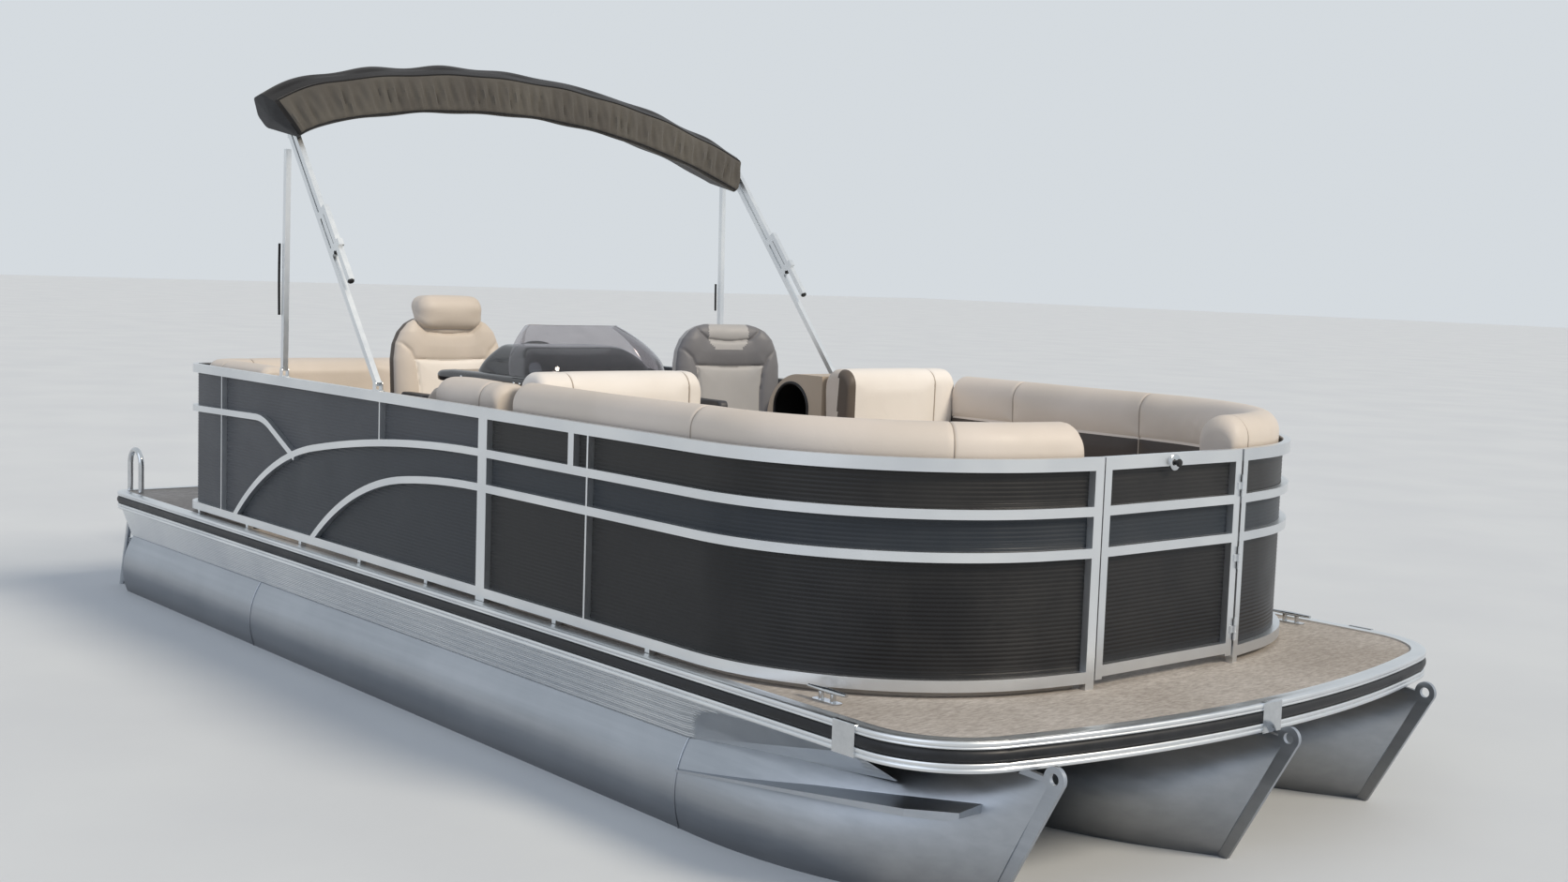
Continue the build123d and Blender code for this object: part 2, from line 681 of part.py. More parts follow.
with BuildPart() as grab_handles:
    for handle_y in HANDLE_Y:
        with BuildLine() as hoop:
            FilletPolyline(
                (HANDLE_X[1], handle_y, DECK_TOP_Z + LIP_THICK),
                (HANDLE_X[1], handle_y, HANDLE_TOP_Z),
                (HANDLE_X[0], handle_y, HANDLE_TOP_Z),
                (HANDLE_X[0], handle_y, DECK_TOP_Z + LIP_THICK),
                radius=HANDLE_BEND_R,
            )
        with BuildSketch(hoop.line ^ 0):
            Circle(HANDLE_TUBE_R)
        sweep(path=hoop.line)
    add(deck_trim.part, mode=Mode.SUBTRACT)
    lug_near = HINGE_TUBE_END + LUG_GAP
    for lug_y in (LADDER_Y[0] - lug_near - LUG_T, LADDER_Y[1] + lug_near):
        with BuildSketch(Plane.XZ.offset(-lug_y)):
            with Locations(LADDER_PIVOT):
                Circle(LUG_R)
            with Locations(((DECK_AFT_X + LADDER_PIVOT[0]) / 2, LADDER_PIVOT[1])):
                Rectangle(DECK_AFT_X - LADDER_PIVOT[0], 2 * LUG_R)
            with Locations(LADDER_PIVOT):
                Circle(PIN_R + 0.5, mode=Mode.SUBTRACT)
        extrude(amount=-LUG_T)
grab_handles.part.label = "grab_handles"
export_step(grab_handles.part, "parts/grab_handles.step")

# Seats: moulded bases, with vinyl cushions and backs that follow the fence.
BASE_OUT = 40
BASE_IN = 560
CUSHION_OUT = 60
CUSHION_IN = 620
BACK_OUT = 36
BACK_IN = 200
COUCH_END_Y = 395
COUCH_ROUND = 60


def couch_band(side, outer, inner, aft_x):
    with BuildSketch(mode=Mode.PRIVATE) as plan:
        add(fence_band(side, outer, inner, aft_x))
        with Locations((GATE_X, 0)):
            Rectangle(GATE_X, 2 * COUCH_END_Y, mode=Mode.SUBTRACT)
    return plan.sketch


for side_name, side in (("starboard", -1), ("port", 1)):
    with BuildPart() as couch_base:
        with BuildSketch(Plane.XY.offset(DECK_TOP_Z)):
            add(couch_band(side, BASE_OUT, BASE_IN, COUCH_BACK_X))
        extrude(amount=SEAT_BASE_TOP_Z - DECK_TOP_Z)
    couch_base.part.label = f"bow_couch_base_{side_name}"
    export_step(couch_base.part, f"parts/{couch_base.part.label}.step")
    with BuildPart() as couch_cushion:
        with BuildSketch(Plane.XY.offset(SEAT_BASE_TOP_Z)):
            add(couch_band(side, BACK_IN + 2, CUSHION_IN, COUCH_BACK_X))
        extrude(amount=SEAT_TOP_Z - SEAT_BASE_TOP_Z)
    couch_cushion.part.label = f"bow_couch_cushion_{side_name}"
    export_step(couch_cushion.part, f"parts/{couch_cushion.part.label}.step")
    with BuildPart() as couch_back:
        with BuildSketch(Plane.XY.offset(SEAT_BASE_TOP_Z)):
            add(couch_band(side, BACK_OUT, BACK_IN, COUCH_BACK_X + 4))
        extrude(amount=BACK_TOP_Z - SEAT_BASE_TOP_Z)
        fillet(couch_back.faces().sort_by(Axis.Z)[-1].edges(), radius=COUCH_ROUND)
    couch_back.part.label = f"bow_couch_back_{side_name}"
    export_step(couch_back.part, f"parts/{couch_back.part.label}.step")

# Chaise backs: forward-facing backs that close the aft end of each bow couch.
CHAISE_T = 165
CHAISE_TOP_Z = 1375
CHAISE_ROUND = 65
CHAISE_GAP = 4
CHAISES = {
    # side name: inboard and outboard edge
    "starboard": (-330, -1080),
    "port": (432, 1080),
}
for side_name, (near_y, far_y) in CHAISES.items():
    with BuildPart() as chaise:
        with BuildSketch(Plane.XY.offset(SEAT_BASE_TOP_Z)):
            with Locations((COUCH_BACK_X - CHAISE_GAP - CHAISE_T / 2, (near_y + far_y) / 2)):
                Rectangle(CHAISE_T, abs(far_y - near_y))
        extrude(amount=CHAISE_TOP_Z - SEAT_BASE_TOP_Z)
        fillet(chaise.faces().sort_by(Axis.Z)[-1].edges(), radius=CHAISE_ROUND)
    chaise.part.label = f"chaise_back_{side_name}"
    export_step(chaise.part, f"parts/{chaise.part.label}.step")

# Port storage pod behind the chaise: a moulded hood with an arched recess on its inboard side.
POD_AFT_X = 112
POD_FORE_X = COUCH_BACK_X - CHAISE_T - 8
POD_NEAR_Y, POD_FAR_Y = CHAISES["port"]
POD_TOP_Z = 1335
POD_HOOD = ((POD_AFT_X, 1080), (POD_AFT_X + 50, 1270), (POD_AFT_X + 200, POD_TOP_Z))
RECESS_X = (POD_AFT_X + 45, POD_AFT_X + 265)
RECESS_Z = (960, 1185)
RECESS_DEPTH = 260
with BuildPart() as pod:
    with BuildSketch(Plane.XZ.offset(-POD_FAR_Y)):
        with BuildLine():
            Polyline(POD_HOOD[2], (POD_FORE_X, POD_TOP_Z), (POD_FORE_X, DECK_TOP_Z), (POD_AFT_X, DECK_TOP_Z), POD_HOOD[0])
            ThreePointArc(*POD_HOOD)
        make_face()
    extrude(amount=POD_FAR_Y - POD_NEAR_Y)
    recess_mid, recess_r = sum(RECESS_X) / 2, (RECESS_X[1] - RECESS_X[0]) / 2
    with BuildSketch(Plane.XZ.offset(-POD_NEAR_Y)):
        with Locations((recess_mid, RECESS_Z[1])):
            Circle(recess_r)
        with Locations((recess_mid, sum(RECESS_Z) / 2)):
            Rectangle(2 * recess_r, RECESS_Z[1] - RECESS_Z[0])
    extrude(amount=-RECESS_DEPTH, mode=Mode.SUBTRACT)
pod.part.label = "storage_pod"
export_step(pod.part, "parts/storage_pod.step")

# Helm console: a moulded body with a padded coaming along the fence side.
HELM_Y = -655
HELM_HALF = 335
HELM_TOP_Z = 1285
CONSOLE_PROFILE = (
    # x, z, round the body from its aft foot
    (-300, DECK_TOP_Z),
    (460, DECK_TOP_Z),
    (460, 1255),
    (400, HELM_TOP_Z),
    (-330, HELM_TOP_Z - 30),
    (-390, 1210),
    (-300, 1060),
)
CONSOLE_CORNER_R = 45
COAMING_X = (-20, 440)
COAMING_Y = (-1160, HELM_Y - HELM_HALF)
COAMING_TOP_Z = 1268
COAMING_BOTTOM_Z = 900
COAMING_R = 60
with BuildPart() as console:
    with BuildSketch(Plane.XZ.offset(-(HELM_Y - HELM_HALF))):
        with BuildLine():
            Polyline(*CONSOLE_PROFILE, close=True)
        make_face()
    extrude(amount=-2 * HELM_HALF)
    fillet(console.edges().filter_by(Axis.Z), radius=CONSOLE_CORNER_R)
    with BuildSketch(Plane.YZ.offset(COAMING_X[0])):
        with BuildLine():
            FilletPolyline(
                (COAMING_Y[1] + CONSOLE_CORNER_R, COAMING_BOTTOM_Z),
                (COAMING_Y[0], COAMING_BOTTOM_Z),
                (COAMING_Y[0], COAMING_TOP_Z),
                (COAMING_Y[1] + CONSOLE_CORNER_R, COAMING_TOP_Z - 14),
                radius=(1, COAMING_R, COAMING_R, 1),
                close=True,
            )
        make_face()
    extrude(amount=COAMING_X[1] - COAMING_X[0])
console.part.label = "helm_console"
export_step(console.part, "parts/helm_console.step")

# Dash: a glossy moulding with a wing that reaches aft beside the wheel, and a hood for the instruments.
DASH_FORE_X = 465
DASH_AFT_X = -225
DASH_R = 70
DASH_LOW_Z = HELM_TOP_Z
DASH_TOP_Z = 1338
DASH_INSET = 14
WING_AFT_X = -345
WING_W = 250
WING_TIP_Z = 1306
HOOD_LEVELS = (
    # z, aft x, fore x, half width, corner radius
    (DASH_TOP_Z, -90, 390, 285, 90),
    (1452, 0, 262, 215, 80),
)


def dash_plan(inset):
    """Plan of the dash: a block across the console and a wing along its fence side."""
    with BuildSketch(mode=Mode.PRIVATE) as plan:
        for aft_x, near, far in (
            (DASH_AFT_X, HELM_Y - HELM_HALF, HELM_Y + HELM_HALF),
            (WING_AFT_X, HELM_Y - HELM_HALF, HELM_Y - HELM_HALF + WING_W),
        ):
            with Locations(((aft_x + DASH_FORE_X) / 2, (near + far) / 2)):
                RectangleRounded(DASH_FORE_X - aft_x - 2 * inset, far - near - 2 * inset, DASH_R - inset)
    return plan.sketch


with BuildPart() as dash:
    with BuildSketch(Plane.XY.offset(DASH_LOW_Z)):
        add(dash_plan(0))
    extrude(amount=DASH_TOP_Z - DASH_LOW_Z)
    chamfer(dash.faces().sort_by(Axis.Z)[-1].edges(), length=DASH_INSET)
    with BuildSketch(Plane.XZ.offset(-HELM_Y)):
        with BuildLine():
            Polyline(
                (WING_AFT_X - DASH_R, WING_TIP_Z),
                (WING_AFT_X, WING_TIP_Z),
                (DASH_AFT_X, DASH_TOP_Z + 1),
                (WING_AFT_X - DASH_R, DASH_TOP_Z + 1),
                close=True,
            )
        make_face()
    extrude(amount=2 * HELM_HALF, both=True, mode=Mode.SUBTRACT)
    for level, aft_x, fore_x, half, corner in HOOD_LEVELS:
        with BuildSketch(Plane.XY.offset(level)):
            with Locations(((aft_x + fore_x) / 2, HELM_Y)):
                RectangleRounded(fore_x - aft_x, 2 * half, corner)
    loft()
dash.part.label = "dash_pod"
export_step(dash.part, "parts/dash_pod.step")

# Windshield: one formed sheet that wraps the hood, raked hard at the front and open aft.
GLASS_T = 5
GLASS_LEVELS = (
    # z, aft x, fore x, half width, corner radius
    (DASH_TOP_Z + 1, -300, 458, 326, 100),
    (1535, -200, 268, 208, 96),
)
GLASS_CUT = ((-400, DASH_TOP_Z - 20), (270, DASH_TOP_Z - 20), (180, 1560), (-400, 1560))
with BuildPart() as windshield:
    for shrink, mode in ((0, Mode.ADD), (GLASS_T, Mode.SUBTRACT)):
        for level, aft_x, fore_x, half, corner in GLASS_LEVELS:
            with BuildSketch(Plane.XY.offset(level)):
                with Locations(((aft_x + fore_x) / 2, HELM_Y)):
                    RectangleRounded(fore_x - aft_x - 2 * shrink, 2 * (half - shrink), corner - shrink)
        loft(mode=mode)
    with BuildSketch(Plane.XZ.offset(-HELM_Y)):
        with BuildLine():
            Polyline(*GLASS_CUT, close=True)
        make_face()
    extrude(amount=2 * HELM_HALF, both=True, mode=Mode.SUBTRACT)
windshield.part.label = "windshield"
export_step(windshield.part, "parts/windshield.step")

# Steering wheel on a raked column, with a hub and three spokes.
WHEEL_R = 170
WHEEL_TUBE_R = 14
WHEEL_CENTRE = (-380, HELM_Y + 135, 1295)
WHEEL_TILT = radians(35)
HUB_R = 42
HUB_BACK = 22
HUB_DEPTH = 34
SPOKE_W = 26
SPOKE_T = 8
wheel_plane = Plane(
    origin=WHEEL_CENTRE,
    x_dir=(0, -1, 0),
    z_dir=(-cos(WHEEL_TILT), 0, sin(WHEEL_TILT)),
)
with BuildPart() as steering_wheel:
    with BuildSketch(Plane(origin=WHEEL_CENTRE, x_dir=wheel_plane.x_dir, z_dir=wheel_plane.y_dir)):
        with Locations((WHEEL_R, 0)):
            Circle(WHEEL_TUBE_R)
    revolve(axis=Axis(WHEEL_CENTRE, wheel_plane.z_dir))
    with BuildSketch(wheel_plane.offset(-HUB_BACK)):
        Circle(HUB_R)
    extrude(amount=HUB_DEPTH)
    with BuildSketch(wheel_plane.offset(-SPOKE_T * 0.75)):
        with PolarLocations(WHEEL_R / 2, 3, start_angle=90):
            Rectangle(WHEEL_R, SPOKE_W)
    extrude(amount=SPOKE_T)
steering_wheel.part.label = "steering_wheel"
export_step(steering_wheel.part, "parts/steering_wheel.step")

# Helm controls: the steering column, and a throttle lever on its plinth.
COLUMN_GAP = 6
COLUMN_R = 30
COLUMN_LENGTH = 130
LEVER_PLACE = (-180, HELM_Y - 40)
PLINTH = (76, 54, 12)
PLINTH_H = 20
LEVER_R = 9
LEVER_H = 62
with BuildPart() as helm_controls:
    with BuildSketch(wheel_plane.offset(-HUB_BACK - COLUMN_GAP)):
        Circle(COLUMN_R)
    extrude(amount=-COLUMN_LENGTH)
    with BuildSketch(Plane.XY.offset(DASH_TOP_Z - PLINTH_H)):
        with Locations(LEVER_PLACE):
            RectangleRounded(*PLINTH)
    extrude(amount=2 * PLINTH_H)
    with BuildSketch(Plane.XY.offset(DASH_TOP_Z + PLINTH_H)):
        with Locations(LEVER_PLACE):
            Circle(LEVER_R)
    extrude(amount=LEVER_H)
    add(console.part, mode=Mode.SUBTRACT)
    add(dash.part, mode=Mode.SUBTRACT)
helm_controls.part.label = "helm_controls"
export_step(helm_controls.part, "parts/helm_controls.step")

# Swivel chairs: a fixed pedestal, and a seat cushion, back and arms that turn on it.
CHAIRS = {
    # name: pivot x, pivot y, height of the back, with a headrest, turn at rest
    "captain": (-960, -400, 722, True, 0),
    "companion": (-360, 742, 612, False, -10),
}
PEDESTAL_TOP_Z = 840
PEDESTAL_FOOT = (150, 18)
PEDESTAL_POST_R = 44
PEDESTAL_GAP = 6
CHAIR_SEAT_Z = 960
CHAIR_CUSHION = (500, 450, 90)
CHAIR_CUSHION_X = 40
CHAIR_CROWN = 20
BACK_FOOT_X = -325
BACK_FOOT_Z = 880
BACK_TILT = radians(4)
BACK_T = 112
BACK_ROUND = 56
# Half widths of the back up its height: waist, flanks and the sloping shoulders.
BACK_OUTLINE = ((214, 0), (280, 130), (288, 430), (256, 560), (140, 632))
HEADREST = (330, 158, 48)
HEADREST_T = 150
HEADREST_BACK = 8
ARM_Y = 250
ARM_HALF_W = 22
ARM_R = 20
ARM_PROFILE = ((-231, 1150), (170, 1150), (170, 1100), (40, 1060), (40, 860), (-211, 860))
for chair_name, (pivot_x, pivot_y, back_height, has_headrest, turn) in CHAIRS.items():
    foot_r, foot_t = PEDESTAL_FOOT
    pivot_axis = Axis((pivot_x, pivot_y, 0), (0, 0, 1))
    with BuildPart() as pedestal:
        with BuildSketch(Plane.XY.offset(DECK_TOP_Z)):
            with Locations((pivot_x, pivot_y)):
                Circle(foot_r)
        extrude(amount=foot_t)
        with BuildSketch(Plane.XY.offset(DECK_TOP_Z + foot_t)):
            with Locations((pivot_x, pivot_y)):
                Circle(PEDESTAL_POST_R)
        extrude(amount=PEDESTAL_TOP_Z - DECK_TOP_Z - foot_t)
    pedestal.part.label = f"{chair_name}_chair_pedestal"
    export_step(pedestal.part, f"parts/{pedestal.part.label}.step")

    with BuildPart() as cushion:
        with BuildSketch(Plane.XY.offset(PEDESTAL_TOP_Z + PEDESTAL_GAP)):
            with Locations((pivot_x + CHAIR_CUSHION_X, pivot_y)):
                RectangleRounded(*CHAIR_CUSHION)
        extrude(amount=CHAIR_SEAT_Z + CHAIR_CROWN - PEDESTAL_TOP_Z)
    turned = cushion.part.rotate(pivot_axis, turn)
    turned.label = f"{chair_name}_chair_seat"
    export_step(turned, f"parts/{turned.label}.step")

    back_plane = Plane(
        origin=(pivot_x + BACK_FOOT_X, pivot_y, BACK_FOOT_Z),
        x_dir=(0, 1, 0),
        z_dir=(cos(BACK_TILT), 0, sin(BACK_TILT)),
    )
    with BuildPart() as backrest:
        with BuildSketch(back_plane):
            with BuildLine():
                right = [(half, height) for half, height in BACK_OUTLINE]
                left = [(-half, height) for half, height in reversed(BACK_OUTLINE)]
                FilletPolyline(*right, *left, radius=BACK_ROUND, close=True)
            make_face()
        extrude(amount=BACK_T)
        if has_headrest:
            with BuildSketch(back_plane.offset(-HEADREST_BACK)):
                with Locations((0, back_height - HEADREST[1] / 2)):
                    RectangleRounded(*HEADREST)
            extrude(amount=HEADREST_T)
    turned = backrest.part.rotate(pivot_axis, turn)
    turned.label = f"{chair_name}_chair_back"
    export_step(turned, f"parts/{turned.label}.step")

    with BuildPart() as arms:
        for side in (-1, 1):
            with BuildSketch(Plane.XZ.offset(-(pivot_y + side * ARM_Y))):
                with BuildLine():
                    FilletPolyline(*[(pivot_x + x, z) for x, z in ARM_PROFILE], radius=ARM_R, close=True)
                make_face()
            extrude(amount=-ARM_HALF_W, both=True)
    turned = arms.part.rotate(pivot_axis, turn)
    turned.label = f"{chair_name}_chair_arms"
    export_step(turned, f"parts/{turned.label}.step")

# Aft lounge: an L of seating round the starboard aft corner.
AFT_BENCH_FORE_X = -1500
AFT_BENCH_IN_X = -1690
AFT_BENCH_END_Y = 380
AFT_BASE_IN_X = -1730
AFT_BASE_OUT = (-2235, -1200)
AFT_BACK_OUT = (-2238, -1204)
AFT_BACK_IN = (-2080, -1044)
AFT_CUSHION_OUT = (-2062, -1026)
AFT_BACK_TOP_Z = 1268
AFT_BACK_EDGE_R = 14
AFT_CORNER_CLEAR = 110
with BuildPart() as aft_base:
    with BuildSketch(Plane.XY.offset(DECK_TOP_Z)):
        with BuildLine():
            FilletPolyline(
                AFT_BASE_OUT,
                (AFT_BENCH_FORE_X, AFT_BASE_OUT[1]),
                (AFT_BENCH_FORE_X, -700),
                (AFT_BASE_IN_X, -700),
                (AFT_BASE_IN_X, AFT_BENCH_END_Y),
                (AFT_BASE_OUT[0], AFT_BENCH_END_Y),
                radius=(AFT_CORNER_CLEAR, 20, 40, 40, 20, 10),
                close=True,
            )
        make_face()
    extrude(amount=SEAT_BASE_TOP_Z - DECK_TOP_Z)
aft_base.part.label = "aft_lounge_base"
export_step(aft_base.part, "parts/aft_lounge_base.step")

with BuildPart() as aft_cushion:
    with BuildSketch(Plane.XY.offset(SEAT_BASE_TOP_Z)):
        with BuildLine():
            Polyline(
                AFT_CUSHION_OUT,
                (AFT_BENCH_FORE_X, AFT_CUSHION_OUT[1]),
                (AFT_BENCH_FORE_X, -660),
                (AFT_BENCH_IN_X, -660),
                (AFT_BENCH_IN_X, AFT_BENCH_END_Y),
                (AFT_CUSHION_OUT[0], AFT_BENCH_END_Y),
                close=True,
            )
        make_face()
    extrude(amount=SEAT_TOP_Z - SEAT_BASE_TOP_Z)
aft_cushion.part.label = "aft_lounge_cushion"
export_step(aft_cushion.part, "parts/aft_lounge_cushion.step")

with BuildPart() as aft_back:
    with BuildSketch(Plane.XY.offset(SEAT_BASE_TOP_Z)):
        with BuildLine():
            FilletPolyline(
                AFT_BACK_OUT,
                (AFT_BENCH_FORE_X, AFT_BACK_OUT[1]),
                (AFT_BENCH_FORE_X, AFT_BACK_IN[1]),
                AFT_BACK_IN,
                (AFT_BACK_IN[0], AFT_BENCH_END_Y),
                (AFT_BACK_OUT[0], AFT_BENCH_END_Y),
                radius=(AFT_CORNER_CLEAR, 18, 18, 18, 18, 18),
                close=True,
            )
        make_face()
    extrude(amount=AFT_BACK_TOP_Z - SEAT_BASE_TOP_Z)
    fillet(aft_back.faces().sort_by(Axis.Z)[-1].edges(), radius=AFT_BACK_EDGE_R)
aft_back.part.label = "aft_lounge_back"
export_step(aft_back.part, "parts/aft_lounge_back.step")

# Folding top: square-tube legs and bow in a fabric boot, with a strut on each side.
LEG_HEADS = {-1: (-1150, 2290), 1: (-1205, 2290)}
LEG_FOOT = (LEG_FOOT_X, FRAME_FOOT_Z + 6)
STRUTS = {
    # side name: side, foot x, head x
    "starboard": (-1, -1200, -1185),
    "port": (1, -1250, -1270),
}
STRUT_HEAD_Z = 2225
MOUNT_PLATE = (70, 28, 8)
MOUNT_PLATE_T = 4
CHEEK_OUT = 14
CHEEK_T = 3
CHEEK_R = 14
with BuildPart() as top_mounts:
    for side, strut_foot_x, strut_head_x in STRUTS.values():
        for foot_x in (LEG_FOOT_X, strut_foot_x):
            with BuildSketch(Plane.XY.offset(RAIL_TOP_Z)):
                with Locations((foot_x, side * FRAME_Y)):
                    RectangleRounded(*MOUNT_PLATE)
            extrude(amount=MOUNT_PLATE_T)
            for cheek in (-1, 1):
                with BuildSketch(Plane.XZ.offset(-(side * FRAME_Y + cheek * CHEEK_OUT))):
                    with Locations((foot_x, LEG_FOOT[1])):
                        Circle(CHEEK_R)
                    with Locations((foot_x, (LEG_FOOT[1] + RAIL_TOP_Z) / 2)):
                        Rectangle(2 * CHEEK_R, LEG_FOOT[1] - RAIL_TOP_Z)
                extrude(amount=CHEEK_T / 2, both=True)
top_mounts.part.label = "top_mounts"
export_step(top_mounts.part, "parts/top_mounts.step")

# The folded rear bows lie along the upper side of each leg, held by two clamps.
FOLDED_TUBES = (
    # start and end along the leg, distance off the leg's centreline
    (640, 1300, 34),
    (470, 860, 62),
)
CLAMPS = (
    # place along the leg, distance off its centreline, width
    (655, 46, 84),
    (845, 34, 60),
)
CLAMP_LENGTH = 34
BOW_CROWN_Z = 2500
BOW_FOOT_DROP = 20
BOW_CORNER_RISE = 30


def leg_point(side, along, off):
    """Point at a distance along the leg from its foot, and off to its upper, forward side."""
    run = LEG_HEADS[side][0] - LEG_FOOT[0]
    rise = LEG_HEADS[side][1] - LEG_FOOT[1]
    length = sqrt(run ** 2 + rise ** 2)
    return (
        LEG_FOOT[0] + (along * run + off * rise) / length,
        LEG_FOOT[1] + (along * rise - off * run) / length,
    )


def flat_tube(side, start, end, width):
    """Square tube that lies in one side plane of the folding top."""
    with BuildPart() as tube:
        with BuildSketch(Plane.XZ.offset(-(side * FRAME_Y - TUBE_SQUARE / 2 + 1))):
            with BuildLine():
                Line(start, end)
            trace(line_width=width)
        extrude(amount=-(TUBE_SQUARE - 2))
    return tube.part


with BuildPart() as top_frame:
    for side, head in LEG_HEADS.items():
        add(flat_tube(side, LEG_FOOT, head, TUBE_SQUARE))
        for near, far, off in FOLDED_TUBES:
            add(flat_tube(side, leg_point(side, near, off), leg_point(side, far, off), TUBE_SQUARE))
        for along, off, width in CLAMPS:
            low, high = off - width / 2, off + width / 2
            add(flat_tube(side, leg_point(side, along, low), leg_point(side, along, high), CLAMP_LENGTH))
    ends = [
        [(head_x, side * FRAME_Y, head_z + rise) for rise in (-BOW_FOOT_DROP, BOW_CORNER_RISE)]
        for side, (head_x, head_z) in LEG_HEADS.items()
    ]
    with BuildLine() as bow_line:
        Line(ends[0][0], ends[0][1])
        ThreePointArc(ends[0][1], ((ends[0][1][0] + ends[1][1][0]) / 2, 0, BOW_CROWN_Z), ends[1][1])
        Line(ends[1][1], ends[1][0])
    with BuildSketch(Plane(origin=ends[0][0], z_dir=(0, 0, 1))):
        Rectangle(TUBE_SQUARE, TUBE_SQUARE - 2)
    sweep(path=bow_line.wires()[0], transition=Transition.RIGHT)
top_frame.part.label = "top_frame"
export_step(top_frame.part, "parts/top_frame.step")

# Boot: the rolled fabric in its cover, one arched bag that has slipped a little to starboard.
BOOT_X = -1170
BOOT_SECTION = (
    # x from the bow tube, z from the arch line
    (160, -112),
    (104, 78),
    (16, 126),
    (-92, 110),
    (-152, 20),
    (-136, -46),
)
BOOT_ROUND = 26
BOOT_CROWN = (-250, 2538)
BOOT_SHOULDER = (-1080, 2442)
BOOT_STARBOARD_END = (-1295, 2350)
BOOT_PORT_END = (1160, 2262)
with BuildPart() as top_boot:
    with BuildLine() as arch:
        crown = ThreePointArc((BOOT_X, *BOOT_SHOULDER), (BOOT_X, *BOOT_CROWN), (BOOT_X, *BOOT_PORT_END))
        TangentArc((BOOT_X, *BOOT_SHOULDER), (BOOT_X, *BOOT_STARBOARD_END), tangent=-(crown % 0))
    path = arch.wires()[0]
    with BuildSketch(Plane(origin=path @ 0, x_dir=(1, 0, 0), z_dir=-(path % 0))):
        with BuildLine():
            FilletPolyline(*BOOT_SECTION, radius=BOOT_ROUND, close=True)
        make_face()
    sweep(path=path)
    add(top_frame.part, mode=Mode.SUBTRACT)
top_boot.part.label = "top_boot"
export_step(top_boot.part, "parts/top_boot.step")

for side_name, (side, foot_x, head_x) in STRUTS.items():
    strut = flat_tube(side, (foot_x, LEG_FOOT[1]), (head_x, STRUT_HEAD_Z), TUBE_SQUARE)
    strut.label = f"top_strut_{side_name}"
    export_step(strut, f"parts/{strut.label}.step")

# Outboard motor on a welded pod behind the centre tube.
POD_END_X = -3270
with BuildPart() as motor_pod:
    with BuildSketch(Plane.XZ.offset(-150)):
        with BuildLine():
            Polyline(
                (TUBE_AFT_X, 60),
                (TUBE_AFT_X, 400),
                (DECK_AFT_X - 20, 415),
                (POD_END_X, 480),
                (POD_END_X, 200),
                close=True,
            )
        make_face()
    extrude(amount=300)
    add(pontoon_tubes.part, mode=Mode.SUBTRACT)
motor_pod.part.label = "motor_pod"
export_step(motor_pod.part, "parts/motor_pod.step")

with BuildPart() as clamp_bracket:
    for side in (-1, 1):
        with BuildSketch(Plane.XZ.offset(-side * 82)):
            with BuildLine():
                Polyline(
                    (POD_END_X, 250),
                    (POD_END_X, 535),
                    (TILT_X + 20, 585),
                    (TILT_X - 25, 575),
                    (TILT_X - 25, 530),
                    (TILT_X, 300),
                    close=True,
                )
            make_face()
        extrude(amount=9, both=True)
clamp_bracket.part.label = "clamp_bracket"
export_step(clamp_bracket.part, "parts/clamp_bracket.step")

with BuildPart() as swivel_bracket:
    with BuildSketch(Plane.XY.offset(300)):
        with Locations((STEER_X, 0)):
            Circle(38)
    extrude(amount=286)
    with BuildSketch(Plane.XZ.offset(-66)):
        with Locations((TILT_X, TILT_Z)):
            Circle(22)
        with Locations((STEER_X + 24, TILT_Z - 5)):
            Rectangle(60, 30)
    extrude(amount=132)
swivel_bracket.part.label = "swivel_bracket"
export_step(swivel_bracket.part, "parts/swivel_bracket.step")

COWL_Z = 640
COWL_SECTIONS = (
    # z, centre x offset, length, width, corner radius
    (COWL_Z, -120, 470, 300, 90),
    (COWL_Z + 230, -130, 510, 340, 110),
    (COWL_Z + 380, -135, 430, 290, 110),
    (COWL_Z + 430, -140, 300, 200, 90),
)
with BuildPart() as motor_cowl:
    for level, shift, length, width, corner in COWL_SECTIONS:
        with BuildSketch(Plane.XY.offset(level)):
            with Locations((STEER_X + shift, 0)):
                RectangleRounded(length, width, corner)
    loft(ruled=True)
motor_cowl.part.label = "motor_cowl"
export_step(motor_cowl.part, "parts/motor_cowl.step")

TRAY_Z = 594
TRAY_SECTIONS = (
    # z, centre x offset, length, width
    (COWL_Z, -140, 330, 200),
    (TRAY_Z, -145, 330, 140),
)
LEG_SECTIONS = (
    # z, centre x offset, length, width
    (TRAY_Z, -140, 180, 120),
    (300, -150, 180, 110),
    (-180, -150, 190, 84),
)
with BuildPart() as motor_leg:
    for sections in (TRAY_SECTIONS, LEG_SECTIONS):
        for level, shift, length, width in sections:
            with BuildSketch(Plane.XY.offset(level)):
                with Locations((STEER_X + shift, 0)):
                    RectangleRounded(length, width, width * 0.4)
        loft(ruled=True)
    with BuildSketch(Plane.XY.offset(262)):
        with Locations((STEER_X - 30, 0)):
            RectangleRounded(130, 70, 20)
    extrude(amount=30)
    with BuildSketch(Plane.XY.offset(-190)):
        with Locations((STEER_X - 170, 0)):
            Ellipse(210, 95)
    extrude(amount=12)
    with BuildSketch(Plane.XY.offset(PROP_Z)):
        with Locations((STEER_X - 150, 0)):
            Ellipse(95, 22)
    extrude(amount=-180 - PROP_Z)
    with BuildSketch(Plane.YZ.offset(PROP_X + 60)):
        with Locations((0, PROP_Z)):
            Circle(50)
    extrude(amount=250)
    with BuildSketch(Plane.XZ.offset(-7)):
        with BuildLine():
            Polyline(
                (STEER_X - 210, PROP_Z),
                (STEER_X - 50, PROP_Z),
                (STEER_X - 150, PROP_Z - 190),
                (STEER_X - 220, PROP_Z - 190),
                close=True,
            )
        make_face()
    extrude(amount=14)
